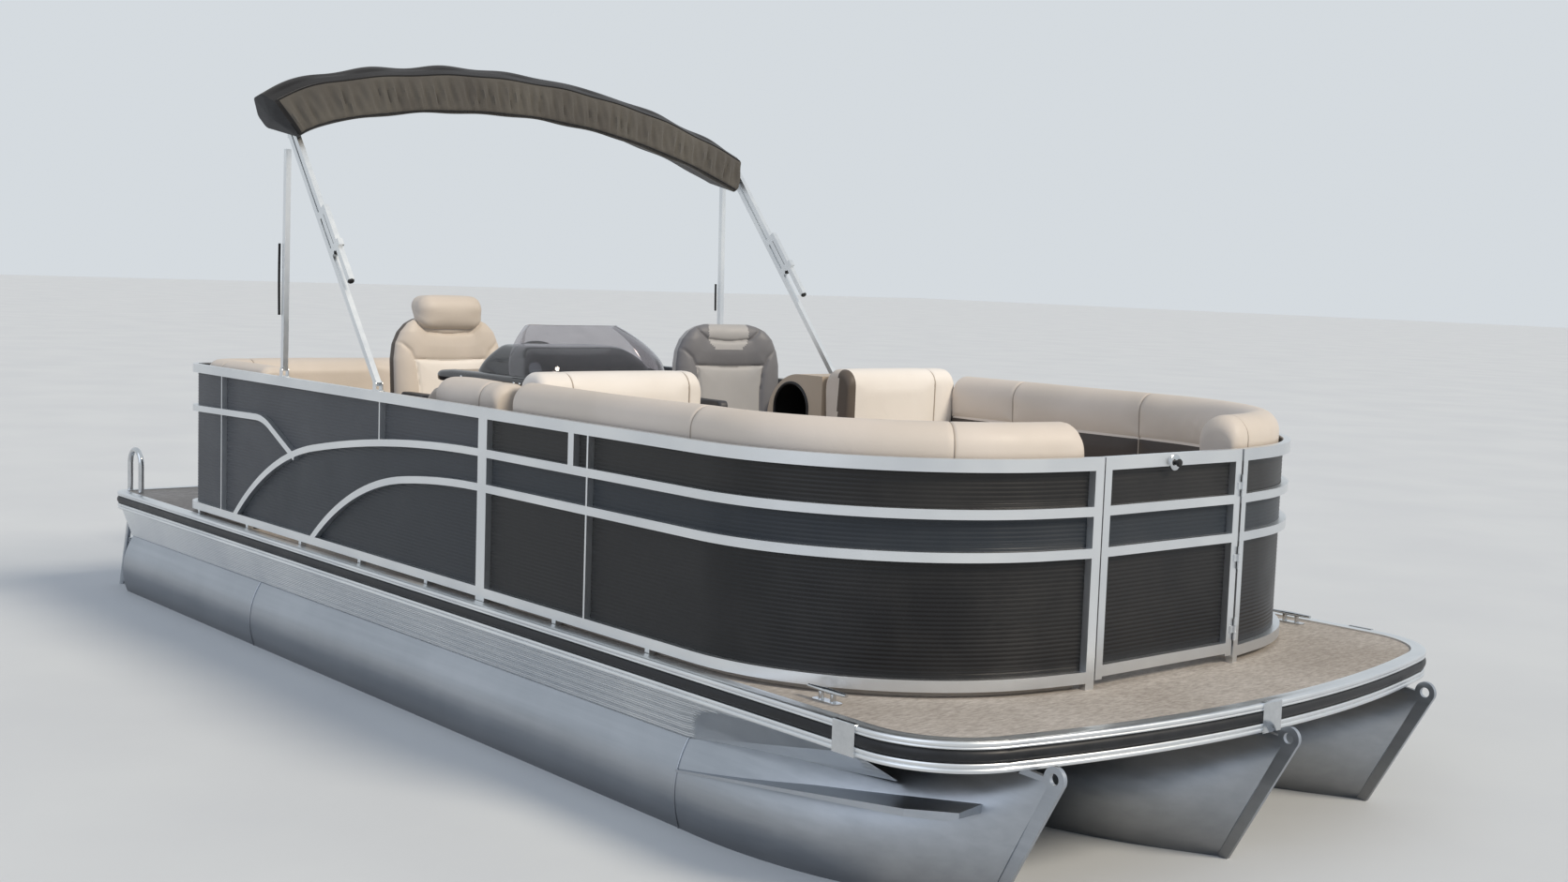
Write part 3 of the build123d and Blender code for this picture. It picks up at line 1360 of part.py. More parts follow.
motor_leg.part.label = "motor_leg"
export_step(motor_leg.part, "parts/motor_leg.step")

PROP_R = 165
PROP_HUB_R = 46
BLADE_T = 6
with BuildPart() as propeller:
    with BuildSketch(Plane.YZ.offset(PROP_X - 50)):
        with Locations((0, PROP_Z)):
            Circle(PROP_HUB_R)
    extrude(amount=104)
    for blade in range(3):
        turn = 120 * blade
        blade_plane = Plane(
            origin=(PROP_X, 0, PROP_Z),
            x_dir=(sin(radians(28)), cos(radians(28)) * cos(radians(turn)), cos(radians(28)) * sin(radians(turn))),
            z_dir=(0, -sin(radians(turn)), cos(radians(turn))),
        )
        with BuildSketch(blade_plane.offset(PROP_HUB_R - 12)):
            Rectangle(74, BLADE_T)
        with BuildSketch(blade_plane.offset(PROP_R * 0.66)):
            Rectangle(130, BLADE_T)
        with BuildSketch(blade_plane.offset(PROP_R)):
            Rectangle(60, BLADE_T * 0.6)
        loft()
propeller.part.label = "propeller"
export_step(propeller.part, "parts/propeller.step")
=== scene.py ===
from math import atan2, cos, hypot, pi, radians, sin, sqrt

import bmesh
import bpy
import numpy as np
from mathutils import Matrix, Vector


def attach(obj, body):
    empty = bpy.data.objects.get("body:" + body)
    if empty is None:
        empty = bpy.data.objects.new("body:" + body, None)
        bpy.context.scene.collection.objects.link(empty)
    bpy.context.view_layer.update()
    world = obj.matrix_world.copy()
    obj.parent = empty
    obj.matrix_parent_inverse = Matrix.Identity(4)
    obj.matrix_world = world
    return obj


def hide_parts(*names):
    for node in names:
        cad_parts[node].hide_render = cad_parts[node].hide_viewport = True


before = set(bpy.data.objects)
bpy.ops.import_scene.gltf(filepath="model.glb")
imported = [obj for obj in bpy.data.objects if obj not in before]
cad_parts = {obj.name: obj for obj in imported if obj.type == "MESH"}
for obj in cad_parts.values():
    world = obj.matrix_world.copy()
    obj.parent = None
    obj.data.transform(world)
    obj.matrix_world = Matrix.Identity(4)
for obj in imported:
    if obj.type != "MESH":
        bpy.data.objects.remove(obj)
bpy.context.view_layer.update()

# The shot: the boat afloat on a plain pale floor at its waterline, in soft studio light. The camera
# stands off the starboard bow at a person's eye height, as on a quay.
EYE = Vector((6.106, -4.569, 1.756))
OFF_BOW = radians(40.398)
DOWN = radians(5.319)
ROLL = radians(1.999)
FOCAL_MM = 40.75
SENSOR_MM = 36
VIEW_REACH = 400
gaze = Vector((-cos(OFF_BOW) * cos(DOWN), sin(OFF_BOW) * cos(DOWN), -sin(DOWN)))
level_right = gaze.cross(Vector((0, 0, 1))).normalized()
level_up = level_right.cross(gaze)
right = level_right * cos(ROLL) + level_up * sin(ROLL)
up = level_up * cos(ROLL) - level_right * sin(ROLL)
lens = bpy.data.cameras.new("quay_camera")
lens.lens = FOCAL_MM
lens.sensor_width = SENSOR_MM
lens.clip_end = VIEW_REACH
camera = bpy.data.objects.new("quay_camera", lens)
bpy.context.scene.collection.objects.link(camera)
camera.matrix_world = Matrix.Translation(EYE) @ Matrix((right, up, -gaze)).transposed().to_4x4()
bpy.context.scene.camera = camera
bpy.context.scene.view_settings.view_transform = "Standard"


# Studio floor: painted plywood, matt and pale, with the faint mottling of a rolled coat. It lies at the
# waterline and stands for still water. Every pattern's scale is 1000 over the size of its marks in mm.
def paint(tone):
    """Linear colour of an sRGB hex code. A plain number is a linear grey."""
    if not isinstance(tone, str):
        return (tone, tone, tone, 1)
    parts = [int(tone[k:k + 2], 16) / 255 for k in (1, 3, 5)]
    return tuple(c / 12.92 if c <= 0.04045 else ((c + 0.055) / 1.055) ** 2.4 for c in parts) + (1,)


def add_node(tree, kind, inputs=None, stops=(), **settings):
    """Adds a shader node with its settings, and fills its sockets from values or from other outputs.
    A ramp's stops are pairs of position and tone."""
    made = tree.nodes.new("ShaderNode" + kind)
    for key, value in settings.items():
        setattr(made, key, value)
    for key, value in (inputs or {}).items():
        if isinstance(value, bpy.types.NodeSocket):
            tree.links.new(value, made.inputs[key])
        else:
            made.inputs[key].default_value = value
    if stops:
        bands = made.color_ramp.elements
        while len(bands) < len(stops):
            bands.new(1.0)
        for band, (position, tone) in zip(bands, stops):
            band.position = position
            band.color = paint(tone)
    return made


def new_material(name, **base):
    """A material with one Principled shader, whose plain values are set on its own sockets."""
    material = bpy.data.materials.new(name)
    material.use_nodes = True
    tree = material.node_tree
    tree.nodes.clear()
    plain = {key.replace("_", " "): value for key, value in base.items()}
    shader = add_node(tree, "BsdfPrincipled", plain)
    add_node(tree, "OutputMaterial", {"Surface": shader.outputs["BSDF"]})
    return material, tree, shader, add_node(tree, "TexCoord").outputs["Object"]


def vary(shader, socket, pattern, *stops):
    """Lets a pattern vary a finish, colour or roughness, between the tones of its stops."""
    tree = shader.id_data
    band = add_node(tree, "ValToRGB", {"Fac": pattern}, stops)
    tree.links.new(band.outputs["Color"], shader.inputs[socket])


FLOOR_HALF = 120
floor_paint, tree, shader, place = new_material("rolled_matt_floor_paint", Roughness=0.85)
mottle = add_node(tree, "TexNoise", {"Vector": place, "Scale": 1000 / 1250, "Detail": 4.0})
vary(shader, "Base Color", mottle.outputs["Fac"], (0.35, "#CFD3D6"), (0.65, "#D4D8DA"))
floor_mesh = bpy.data.meshes.new("studio_floor")
corners = [(x * FLOOR_HALF, y * FLOOR_HALF, 0) for x, y in ((-1, -1), (1, -1), (1, 1), (-1, 1))]
floor_mesh.from_pydata(corners, [], [(0, 1, 2, 3)])
floor_mesh.materials.append(floor_paint)
studio_floor = bpy.data.objects.new("studio_floor", floor_mesh)
bpy.context.scene.collection.objects.link(studio_floor)

# Lamps: a broad warm lamp high off the port bow, and a weak cool one off the starboard side. Both are far
# away, so that the whole floor is lit evenly. The sky lights the shaded sides, and is seen paler.
LAMPS = (
    # name, direction that it stands in, strength, spread in degrees, colour
    ("key_lamp", (0.78, 0.26, 0.66), 2.35, 16, "#FFF2DF"),
    ("fill_lamp", (0.10, -0.90, 0.55), 0.50, 50, "#E2EBFF"),
)
SKY_LIGHT = 0.52
SKY_SHOWN = 0.92
for name, toward, strength, spread, tint in LAMPS:
    glow = bpy.data.lights.new(name, "SUN")
    glow.energy = strength
    glow.angle = radians(spread)
    glow.color = paint(tint)[:3]
    lamp = bpy.data.objects.new(name, glow)
    lamp.rotation_euler = Vector(toward).to_track_quat("Z", "Y").to_euler()
    bpy.context.scene.collection.objects.link(lamp)
sky = bpy.data.worlds.new("studio_sky")
sky.use_nodes = True
bpy.context.scene.world = sky
tree = sky.node_tree
tree.nodes.clear()
ray = add_node(tree, "LightPath")
seen = ray.outputs["Is Camera Ray"]
for kind in ("Is Glossy Ray", "Is Transmission Ray"):
    seen = add_node(tree, "Math", {0: seen, 1: ray.outputs[kind]}, operation="MAXIMUM").outputs[0]
even = add_node(tree, "Background", {"Color": paint("#E8EFFA"), "Strength": SKY_LIGHT})
shown = add_node(tree, "Background", {"Color": paint("#DDE3E8"), "Strength": SKY_SHOWN})
both = add_node(tree, "MixShader", {0: seen, 1: even.outputs[0], 2: shown.outputs[0]})
add_node(tree, "OutputWorld", {"Surface": both.outputs[0]})

# Deck edge: an extruded aluminium trim mitred round the deck, with two bright beads, a deep channel for
# the rub rail, and a thin flange that clamps the edge of the floor covering.
DECK_BOW = 3.080
DECK_AFT = -3.100
HALF_BEAM = 1.295
BOW_ARC_R = 4.247
BOW_CORNER_R = 0.334
AFT_CORNER_R = 0.090


def new_piece(name, points, faces, material, body="hull", sharp_deg=40):
    """A smooth mesh that rides on one body. Faces are index tuples, and sharper edges stay crisp."""
    mesh = bpy.data.meshes.new(name)
    spots = [tuple(float(c) for c in point) for point in points]
    mesh.from_pydata(spots, [], [tuple(int(k) for k in face) for face in faces])
    mesh.materials.append(material)
    mesh.validate()
    surface = bmesh.new()
    surface.from_mesh(mesh)
    bmesh.ops.recalc_face_normals(surface, faces=surface.faces)
    surface.to_mesh(mesh)
    surface.free()
    mesh.shade_smooth()
    mesh.set_sharp_from_angle(angle=radians(sharp_deg))
    piece = bpy.data.objects.new(name, mesh)
    bpy.context.scene.collection.objects.link(piece)
    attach(piece, body)
    return piece


def grid_faces(rows, columns, wrap_rows=False, wrap_columns=False, flip=False):
    """Quads of a grid of rows x columns points, closed round either way on request."""
    faces = []
    for i in range(rows if wrap_rows else rows - 1):
        for j in range(columns if wrap_columns else columns - 1):
            a, b = i * columns + j, i * columns + (j + 1) % columns
            c, d = ((i + 1) % rows) * columns + (j + 1) % columns, ((i + 1) % rows) * columns + j
            faces.append((a, d, c, b) if flip else (a, b, c, d))
    return faces


def bar_faces(rows, columns, flip=False):
    """Faces of a bar made of closed sections, with a flat face at each end."""
    first, last = tuple(range(columns)), tuple(range((rows - 1) * columns, rows * columns))
    ends = [first, last[::-1]] if flip else [first[::-1], last]
    return grid_faces(rows, columns, False, True, flip) + ends


def arc(centre, radius, start, stop, count):
    """Points and outward normals along an arc in plan, angles in degrees."""
    turns = np.radians(np.linspace(start, stop, count))
    normals = np.stack([np.cos(turns), np.sin(turns)], 1)
    return np.array(centre) + radius * normals, normals


def deck_outline():
    """Plan of the deck edge from aft on starboard round the bow and back: points, outward normals."""
    bow_centre_x = DECK_BOW - BOW_ARC_R
    corner_y = HALF_BEAM - BOW_CORNER_R
    corner_x = bow_centre_x + sqrt((BOW_ARC_R - BOW_CORNER_R) ** 2 - corner_y ** 2)
    turn = np.degrees(atan2(corner_y, corner_x - bow_centre_x))
    aft_x, aft_y = DECK_AFT + AFT_CORNER_R, HALF_BEAM - AFT_CORNER_R
    runs = (
        arc((aft_x, -aft_y), AFT_CORNER_R, 180, 270, 10),
        arc((corner_x, -corner_y), BOW_CORNER_R, -90, -turn, 28),
        arc((bow_centre_x, 0), BOW_ARC_R, -turn, turn, 56),
        arc((corner_x, corner_y), BOW_CORNER_R, turn, 90, 28),
        arc((aft_x, aft_y), AFT_CORNER_R, 90, 180, 10),
    )
    return np.concatenate([r[0] for r in runs]), np.concatenate([r[1] for r in runs])


def edge_points(line, normal, profile):
    """Carries a profile of (inset, height) in mm along a plan line."""
    return [
        (x - nx * inset / 1000, y - ny * inset / 1000, z / 1000)
        for (x, y), (nx, ny) in zip(line, normal)
        for inset, z in profile
    ]


def sweep_edge(name, profile, material):
    """Carries a closed profile right round the deck edge."""
    line, normal = deck_outline()
    faces = grid_faces(len(line), len(profile), True, True, flip=True)
    return new_piece(name, edge_points(line, normal, profile), faces, material)


def bead(inset, low, high, count=7):
    """Half-round bead that stands out to an inset between two heights."""
    mid, half = (low + high) / 2, (high - low) / 2
    turns = np.linspace(0.15, pi - 0.15, count)
    return [(inset + half * 0.6 * (1 - sin(t)), mid - half * cos(t)) for t in turns]


# Satin anodised aluminium: even, slightly soft highlights with faint die lines and handling marks.
rail_metal, tree, shader, place = new_material("satin_anodised_aluminium", Metallic=1.0)
marks = add_node(tree, "TexNoise", {"Vector": place, "Scale": 1000 / 45.5, "Detail": 5.0, "Roughness": 0.65})
film = add_node(tree, "TexNoise", {"Vector": place, "Scale": 1000 / 333, "Detail": 2.0})
vary(shader, "Base Color", film.outputs["Fac"], (0.3, "#DADDE0"), (0.7, "#E8EAEB"))
vary(shader, "Roughness", marks.outputs["Fac"], (0.3, 0.30), (0.7, 0.38))
grain = add_node(tree, "TexNoise", {"Vector": place, "Scale": 1000 / 16.7, "Detail": 2.0})
relief = add_node(tree, "Bump", {"Height": grain.outputs["Fac"], "Strength": 0.06, "Distance": 0.0006})
tree.links.new(relief.outputs["Normal"], shader.inputs["Normal"])

TRIM_PROFILE = (
    [(30, 440), (9, 440)]
    + bead(0.5, 441.5, 455)
    + bead(0, 456, 470)
    + [(12, 470.4), (12, 507.6)]
    + bead(0.6, 508, 514.5, 5)
    + bead(-1.5, 515, 530, 9)
    + [(9, 531), (24, 531), (26, 530.2), (50, 530.2), (50, 525.3), (30, 525.3)]
)
deck_edge = sweep_edge("deck_edge_trim", TRIM_PROFILE, rail_metal)
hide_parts("deck_trim")

# Rub rail: a black rubber extrusion pushed into the trim's channel. Its face is rounded, with a soft
# sheen, and dust has settled on it in patches.
rubber, tree, shader, place = new_material("extruded_black_rubber", Roughness=0.42, Specular_IOR_Level=0.4)
dust = add_node(tree, "TexNoise", {"Vector": place, "Scale": 1000 / 111, "Detail": 6.0, "Roughness": 0.7})
vary(shader, "Base Color", dust.outputs["Fac"], (0.35, "#121316"), (0.75, "#25272B"))
vary(shader, "Roughness", dust.outputs["Fac"], (0.3, 0.36), (0.7, 0.52))
RUB_FACE = [(6 - 8.5 * sin(t), 489 - 15.5 * cos(t)) for t in np.linspace(0.3, pi - 0.3, 12)]
RUB_PROFILE = [(11.6, 472), (3, 472)] + RUB_FACE + [(3, 506), (11.6, 506)]
rub_insert = sweep_edge("rub_rail_insert", RUB_PROFILE, rubber)
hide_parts("rub_rail")

# Deck: plywood with a woven vinyl covering glued on. The yarns run athwartships and lie in short
# flecks of beige and grey. The real 3 mm weave is drawn at 7 mm so that it shows, and a fleck's aspect
# is its width over its length.
YARN_MM = 7
FLECK_ASPECT = 0.3
covering, tree, shader, place = new_material("woven_vinyl_covering", Roughness=0.82, Specular_IOR_Level=0.25)
weave = (1000 / YARN_MM, FLECK_ASPECT * 1000 / YARN_MM, 1.0)
stretch = add_node(tree, "Mapping", {"Vector": place, "Scale": weave}).outputs[0]
yarn = add_node(tree, "TexNoise", {"Vector": stretch, "Scale": 0.8, "Detail": 3.0, "Roughness": 0.6})
wear = add_node(tree, "TexNoise", {"Vector": place, "Scale": 1000 / 625, "Detail": 5.0})
flecks = ((0.3, "#A39D97"), (0.5, "#B8B2AB"), (0.72, "#CBC6C0"))
fleck = add_node(tree, "ValToRGB", {"Fac": yarn.outputs["Fac"]}, flecks).outputs["Color"]
fades = ((0.35, "#BDB5AB"), (0.7, "#FFFFFF"))
faded = add_node(tree, "ValToRGB", {"Fac": wear.outputs["Fac"]}, fades).outputs["Color"]
mixed = add_node(tree, "Mix", {0: 0.45, 6: fleck, 7: faded}, data_type="RGBA", blend_type="MULTIPLY")
tree.links.new(mixed.outputs[2], shader.inputs["Base Color"])
relief = add_node(tree, "Bump", {"Height": yarn.outputs["Fac"], "Strength": 0.5, "Distance": 0.0015})
tree.links.new(relief.outputs["Normal"], shader.inputs["Normal"])


def dress(material, *nodes):
    """Gives carried-over CAD nodes their finish."""
    for node in nodes:
        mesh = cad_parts[node].data
        mesh.materials.clear()
        mesh.materials.append(material)


dress(covering, "deck_floor")

# Pontoons: 5052 aluminium plate rolled and seam welded, left in mill finish. It shows roll streaks
# lengthwise and soft cloudy reflections, and a painted shade darkens it low down, towards the waterline.
STREAKS = (0.7, 26.0, 26.0)
PAINTED_SHADE_LOW = 0.02
PAINTED_SHADE_HIGH = 0.20
mill_metal, tree, shader, place = new_material("rolled_mill_finish_aluminium", Metallic=1.0)
along = add_node(tree, "Mapping", {"Vector": place, "Scale": STREAKS}).outputs[0]
streak = add_node(tree, "TexNoise", {"Vector": along, "Scale": 1.0, "Detail": 6.0, "Roughness": 0.6})
cloud = add_node(tree, "TexNoise", {"Vector": place, "Scale": 1000 / 455, "Detail": 4.0, "Roughness": 0.6})
halves = {0: 0.5, 2: streak.outputs["Fac"], 3: cloud.outputs["Fac"]}
blended = add_node(tree, "Mix", halves, data_type="FLOAT")
greys = ((0.30, "#9DA3AB"), (0.70, "#B9BEC5"))
plate = add_node(tree, "ValToRGB", {"Fac": blended.outputs[0]}, greys).outputs["Color"]
# Painted shade: low down the plate is mixed towards a dark grey brown, the more the nearer the waterline.
height = add_node(tree, "SeparateXYZ", {0: place}).outputs["Z"]
span = {"Value": height, "From Min": PAINTED_SHADE_LOW, "From Max": PAINTED_SHADE_HIGH, "To Min": 0.55, "To Max": 0.0}
painted_shade = add_node(tree, "MapRange", span)
film = add_node(tree, "Mix", {0: painted_shade.outputs[0], 6: plate, 7: paint("#6E6A66")}, data_type="RGBA")
tree.links.new(film.outputs[2], shader.inputs["Base Color"])
vary(shader, "Roughness", blended.outputs[0], (0.3, 0.26), (0.7, 0.42))
relief = add_node(tree, "Bump", {"Height": cloud.outputs["Fac"], "Strength": 0.10, "Distance": 0.01})
tree.links.new(relief.outputs["Normal"], shader.inputs["Normal"])
dress(mill_metal, "pontoon_tubes", "nose_cones", "nose_strakes", "tube_risers")
dress(mill_metal, "cross_members", "motor_pod", "bow_eyes")

# Fence frames and the folding top's tubes: welded aluminium, satin anodised like the trim. The frames of
# each side are one weldment, and the top's tubes are pinned together.
dress(rail_metal, "fence_frame_starboard", "fence_frame_port", "bow_gate_frame", "stern_gate_frame")
dress(rail_metal, "top_frame", "top_strut_port", "top_strut_starboard")

# Fence skins: thin aluminium sheet rolled with shallow horizontal ribs, stoved in dark enamels, and held
# inside the frames. Bands of colour follow the rails and the two long arches.
FENCE_Y = 1.241
FENCE_AFT = -2.275
FENCE_AFT_R = 0.120
FENCE_BOW_R = 0.856
GATE_X = 2.659
GATE_HALF = 0.355
GATE_SETBACK = 0.002
BOW_SLANT = radians(10.2)
RAIL_DEPTH = 0.025
SKIN_LOW = 0.550
SKIN_HIGH = 1.236
GATE_SKIN_LOW = 0.565
SKIN_T = 0.004
RIB_PITCH = 0.0135
RIB_DEPTH = 0.0016
POST_X = 0.504
UPPER_ARCH = ((POST_X, 1.076), (-0.880, 0.960), (-1.690, 0.572))
LOWER_ARCH = ((POST_X, 0.948), (-0.086, 0.912), (-0.890, 0.572))
FENCE_CORNER_Y = FENCE_Y - FENCE_BOW_R
FENCE_CORNER_X = (
    GATE_X + GATE_HALF * sin(BOW_SLANT) / cos(BOW_SLANT)
    - (FENCE_BOW_R + FENCE_CORNER_Y * sin(BOW_SLANT)) / cos(BOW_SLANT)
)


def fence_line(side, depth, stern_y):
    """Plan of the fence from the bow gate round to the stern at a depth in from its outer face."""
    normal = np.array((cos(BOW_SLANT), side * sin(BOW_SLANT)))
    gate_end = np.array((GATE_X, side * GATE_HALF)) - depth * normal
    aft_centre = (FENCE_AFT + FENCE_AFT_R, side * (FENCE_Y - FENCE_AFT_R))
    bow_turn, side_turn, aft_turn = side * np.degrees(BOW_SLANT), side * 90, side * 180
    runs = (
        (gate_end[None], normal[None]),
        arc((FENCE_CORNER_X, side * FENCE_CORNER_Y), FENCE_BOW_R - depth, bow_turn, side_turn, 40),
        arc(aft_centre, FENCE_AFT_R - depth, side_turn, aft_turn, 14),
        (np.array([(FENCE_AFT + depth, stern_y)]), np.array([(-1.0, 0.0)])),
    )
    return np.concatenate([r[0] for r in runs]), np.concatenate([r[1] for r in runs])


def ribbed_sheet(name, line, normal, low, material, side, body="hull"):
    """Sheet that stands on a plan line up to the top rail, ribbed outside and flat inside."""
    heights = np.linspace(low, SKIN_HIGH, int((SKIN_HIGH - low) / RIB_PITCH) * 5)
    depths = RIB_DEPTH * (0.5 + 0.5 * np.cos(2 * pi * (heights - low) / RIB_PITCH)) ** 2
    section = [(-d, h) for h, d in zip(heights, depths)] + [(-SKIN_T, SKIN_HIGH), (-SKIN_T, low)]
    points = [
        (x + nx * out, y + ny * out, z)
        for (x, y), (nx, ny) in zip(line, normal)
        for out, z in section
    ]
    faces = bar_faces(len(line), len(section), flip=side < 0)
    return new_piece(name, points, faces, material, sharp_deg=80, body=body)


def tangent_arc(start, heading, end):
    """Centre and radius of the arc that leaves start along heading and reaches end."""
    chord = np.subtract(end, start)
    across = np.array((-heading[1], heading[0]))
    radius = chord @ chord / (2 * chord @ across)
    return np.array(start) + radius * across, abs(radius)


def arch_circles(points):
    """The two circles of an arched rail whose first stretch leaves its post level."""
    first, radius = tangent_arc(points[0], (-1.0, 0.0), points[1])
    out = (np.array(points[1]) - first) / radius
    second, radius2 = tangent_arc(points[1], (-out[1], out[0]), points[2])
    return (first, radius), (second, radius2)


# Stoved enamel on ribbed sheet: a dark semi-gloss coat, a little uneven, with dust in the ribs.
enamel, tree, shader, place = new_material("stoved_dark_enamel", Specular_IOR_Level=0.35)
axes = add_node(tree, "SeparateXYZ", {0: place})


def beyond(axis, bound):
    """1 where the material at hand lies past a bound on an axis, 0 elsewhere."""
    return add_node(tree, "Math", {0: axes.outputs[axis], 1: bound}, operation="GREATER_THAN").outputs[0]


def under_arch(arch):
    """1 below an arched rail, 0 above it."""
    flat = add_node(tree, "CombineXYZ", {0: axes.outputs["X"], 1: 0.0, 2: axes.outputs["Z"]}).outputs[0]
    inside = []
    for centre, radius in arch_circles(arch):
        ends = {0: flat, 1: (centre[0], 0.0, centre[1])}
        reach = add_node(tree, "VectorMath", ends, operation="DISTANCE").outputs["Value"]
        inside.append(add_node(tree, "Math", {0: reach, 1: radius}, operation="LESS_THAN").outputs[0])
    both = {0: beyond("X", arch[1][0]), 2: inside[1], 3: inside[0]}
    return add_node(tree, "Mix", both, data_type="FLOAT").outputs[0]


def paint_over(tree, ground, *coats):
    """Lays coats over a ground colour, each where its mask is 1."""
    for mask, coat in coats:
        ground = add_node(tree, "Mix", {0: mask, 6: ground, 7: coat}, data_type="RGBA").outputs[2]
    return ground


upper, lower = under_arch(UPPER_ARCH), under_arch(LOWER_ARCH)
aft_bands = paint_over(tree, paint("#3D4046"), (upper, paint("#2C3138")), (lower, paint("#22272E")))
mid_band, top_band = beyond("Z", LOWER_ARCH[0][1]), beyond("Z", UPPER_ARCH[0][1])
fore_bands = paint_over(tree, paint("#141416"), (mid_band, paint("#242A31")), (top_band, paint("#1B1A1A")))
haze = add_node(tree, "TexNoise", {"Vector": place, "Scale": 1000 / 286, "Detail": 5.0, "Roughness": 0.6})
dust = add_node(tree, "ValToRGB", {"Fac": haze.outputs["Fac"]}, ((0.4, 0.0), (0.9, 0.12))).outputs["Color"]
banded = paint_over(tree, aft_bands, (beyond("X", POST_X), fore_bands), (dust, paint("#6E6C69")))
tree.links.new(banded, shader.inputs["Base Color"])
vary(shader, "Roughness", haze.outputs["Fac"], (0.3, 0.34), (0.7, 0.48))

STERN_END = {"starboard": 0.440, "port": 1.040}
for side_name, side in (("starboard", -1), ("port", 1)):
    line, normal = fence_line(side, RAIL_DEPTH, STERN_END[side_name])
    skin = ribbed_sheet(f"ribbed_skin_{side_name}", line, normal, SKIN_LOW, enamel, side)
    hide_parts(f"fence_skin_{side_name}")
GATE_SKINS = (
    # node, body, face x, facing, starboard edge, port edge
    ("bow_gate_skin", "bow_gate", GATE_X - GATE_SETBACK - RAIL_DEPTH, 1, -0.342, 0.342),
    ("stern_gate_skin", "stern_gate", FENCE_AFT + RAIL_DEPTH, -1, 0.453, 1.027),
)
for node_name, body, face_x, facing, near, far in GATE_SKINS:
    line = np.array([(face_x, near), (face_x, far)])
    normal = np.array([(facing, 0.0), (facing, 0.0)])
    skin = ribbed_sheet(f"ribbed_{node_name}", line, normal, GATE_SKIN_LOW, enamel, facing, body)
    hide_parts(node_name)

# Side skirts: light-gauge corrugated aluminium between the trim and the shoulder of each outer tube.
# They are riveted at both edges and draw in towards the bow with the tubes.
SKIRT_RIB = 0.009
SKIRT_RIB_DEPTH = 0.0014
SKIRT_T = 0.005
SKIRT_STEPS = 64
SKIRT_STATIONS = (
    # x, head y, head z, foot y, foot z
    (-3.060, 1.262, 0.439, 1.206, 0.290),
    (1.735, 1.262, 0.439, 1.206, 0.290),
    (2.560, 1.262, 0.439, 1.085, 0.330),
)
for side_name, side in (("starboard", -1), ("port", 1)):
    points = []
    for x, head_y, head_z, foot_y, foot_z in SKIRT_STATIONS:
        width, fall = head_y - foot_y, head_z - foot_z
        for t in np.linspace(0, 1, SKIRT_STEPS):
            out = SKIRT_RIB_DEPTH * cos(2 * pi * hypot(width, fall) * t / SKIRT_RIB)
            points.append((x, side * (foot_y + width * (1 - t) + out), foot_z + fall * (1 - t)))
        points += [(x, side * (foot_y - SKIRT_T), foot_z), (x, side * (head_y - SKIRT_T), head_z)]
    faces = bar_faces(len(SKIRT_STATIONS), SKIRT_STEPS + 2, flip=side > 0)
    skirt = new_piece(f"corrugated_skirt_{side_name}", points, faces, rail_metal, sharp_deg=80)
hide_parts("side_skirts")

# Upholstery: marine vinyl sewn over foam on moulded bases. Each pad is a closed run of sections that is
# blown up a little with cloth between its seams, so that panels swell and the stitched lines hold them in.
def vinyl(name, low, high, sheen=0.3):
    """Marine vinyl: a fine pebble grain, drawn at 3 mm, soft creases and a gentle wax shine."""
    material, tree, shader, place = new_material(name, Specular_IOR_Level=sheen)
    pebble = add_node(tree, "TexVoronoi", {"Vector": place, "Scale": 1000 / 3.03})
    creases = {"Vector": place, "Scale": 1000 / 143, "Detail": 5.0, "Roughness": 0.55, "Distortion": 0.6}
    crease = add_node(tree, "TexNoise", creases).outputs["Fac"]
    soil = add_node(tree, "TexNoise", {"Vector": place, "Scale": 1000 / 400, "Detail": 3.0})
    vary(shader, "Base Color", soil.outputs["Fac"], (0.35, low), (0.65, high))
    vary(shader, "Roughness", crease, (0.3, 0.42), (0.7, 0.56))
    fine = {"Height": pebble.outputs["Distance"], "Strength": 0.18, "Distance": 0.0008}
    grain = add_node(tree, "Bump", fine).outputs["Normal"]
    coarse = {"Height": crease, "Strength": 0.35, "Distance": 0.006, "Normal": grain}
    relief = add_node(tree, "Bump", coarse)
    tree.links.new(relief.outputs["Normal"], shader.inputs["Normal"])
    return material


beige_vinyl = vinyl("sewn_beige_marine_vinyl", "#CEC4B8", "#D7CDC2")
pale_vinyl = vinyl("sewn_pale_marine_vinyl", "#E6E0D8", "#EDE8E1")
grey_vinyl = vinyl("sewn_dark_grey_marine_vinyl", "#727275", "#7B7B7E")
silver_vinyl = vinyl("sewn_light_grey_marine_vinyl", "#A9A8A7", "#B3B2B1")
# Umber: the rear shell of the captain's chair, and a painted shade on its sides and on the port chaise's
# side.
umber_vinyl_and_painted_shade = vinyl("sewn_umber_vinyl_and_painted_shade", "#5D544C", "#675E56")
charcoal_vinyl = vinyl("sewn_charcoal_marine_vinyl", "#37373A", "#414145", sheen=0.4)
espresso_vinyl = vinyl("sewn_espresso_marine_vinyl", "#38312E", "#423B37", sheen=0.4)
welt_vinyl = vinyl("sewn_welt_cord_vinyl", "#A1968A", "#ADA296")
SECTION_STEP = 0.014
RUN_STEP = 0.018
STITCH_REACH = 0.006
SEAM_DEPTH = 0.0055
WELT_R = 0.0034
ASIDE = (0.31, 0.17, 0.94)  # a direction that no rod runs along
END_TURNS = (0.35, 0.7, 1.05, 1.35, 1.57)
END_SHARES = (0.82, 0.6, 0.38, 0.16)
PUFF_FRAMES = 20
PUFF_CLOTH = {
    "quality": 5, "mass": 0.3, "tension_stiffness": 12, "compression_stiffness": 12, "shear_stiffness": 5,
    "bending_stiffness": 0.6, "use_pressure": True, "uniform_pressure_force": 4.0,
    "vertex_group_mass": "seams",
}
LEAST_SWELL = 0.003


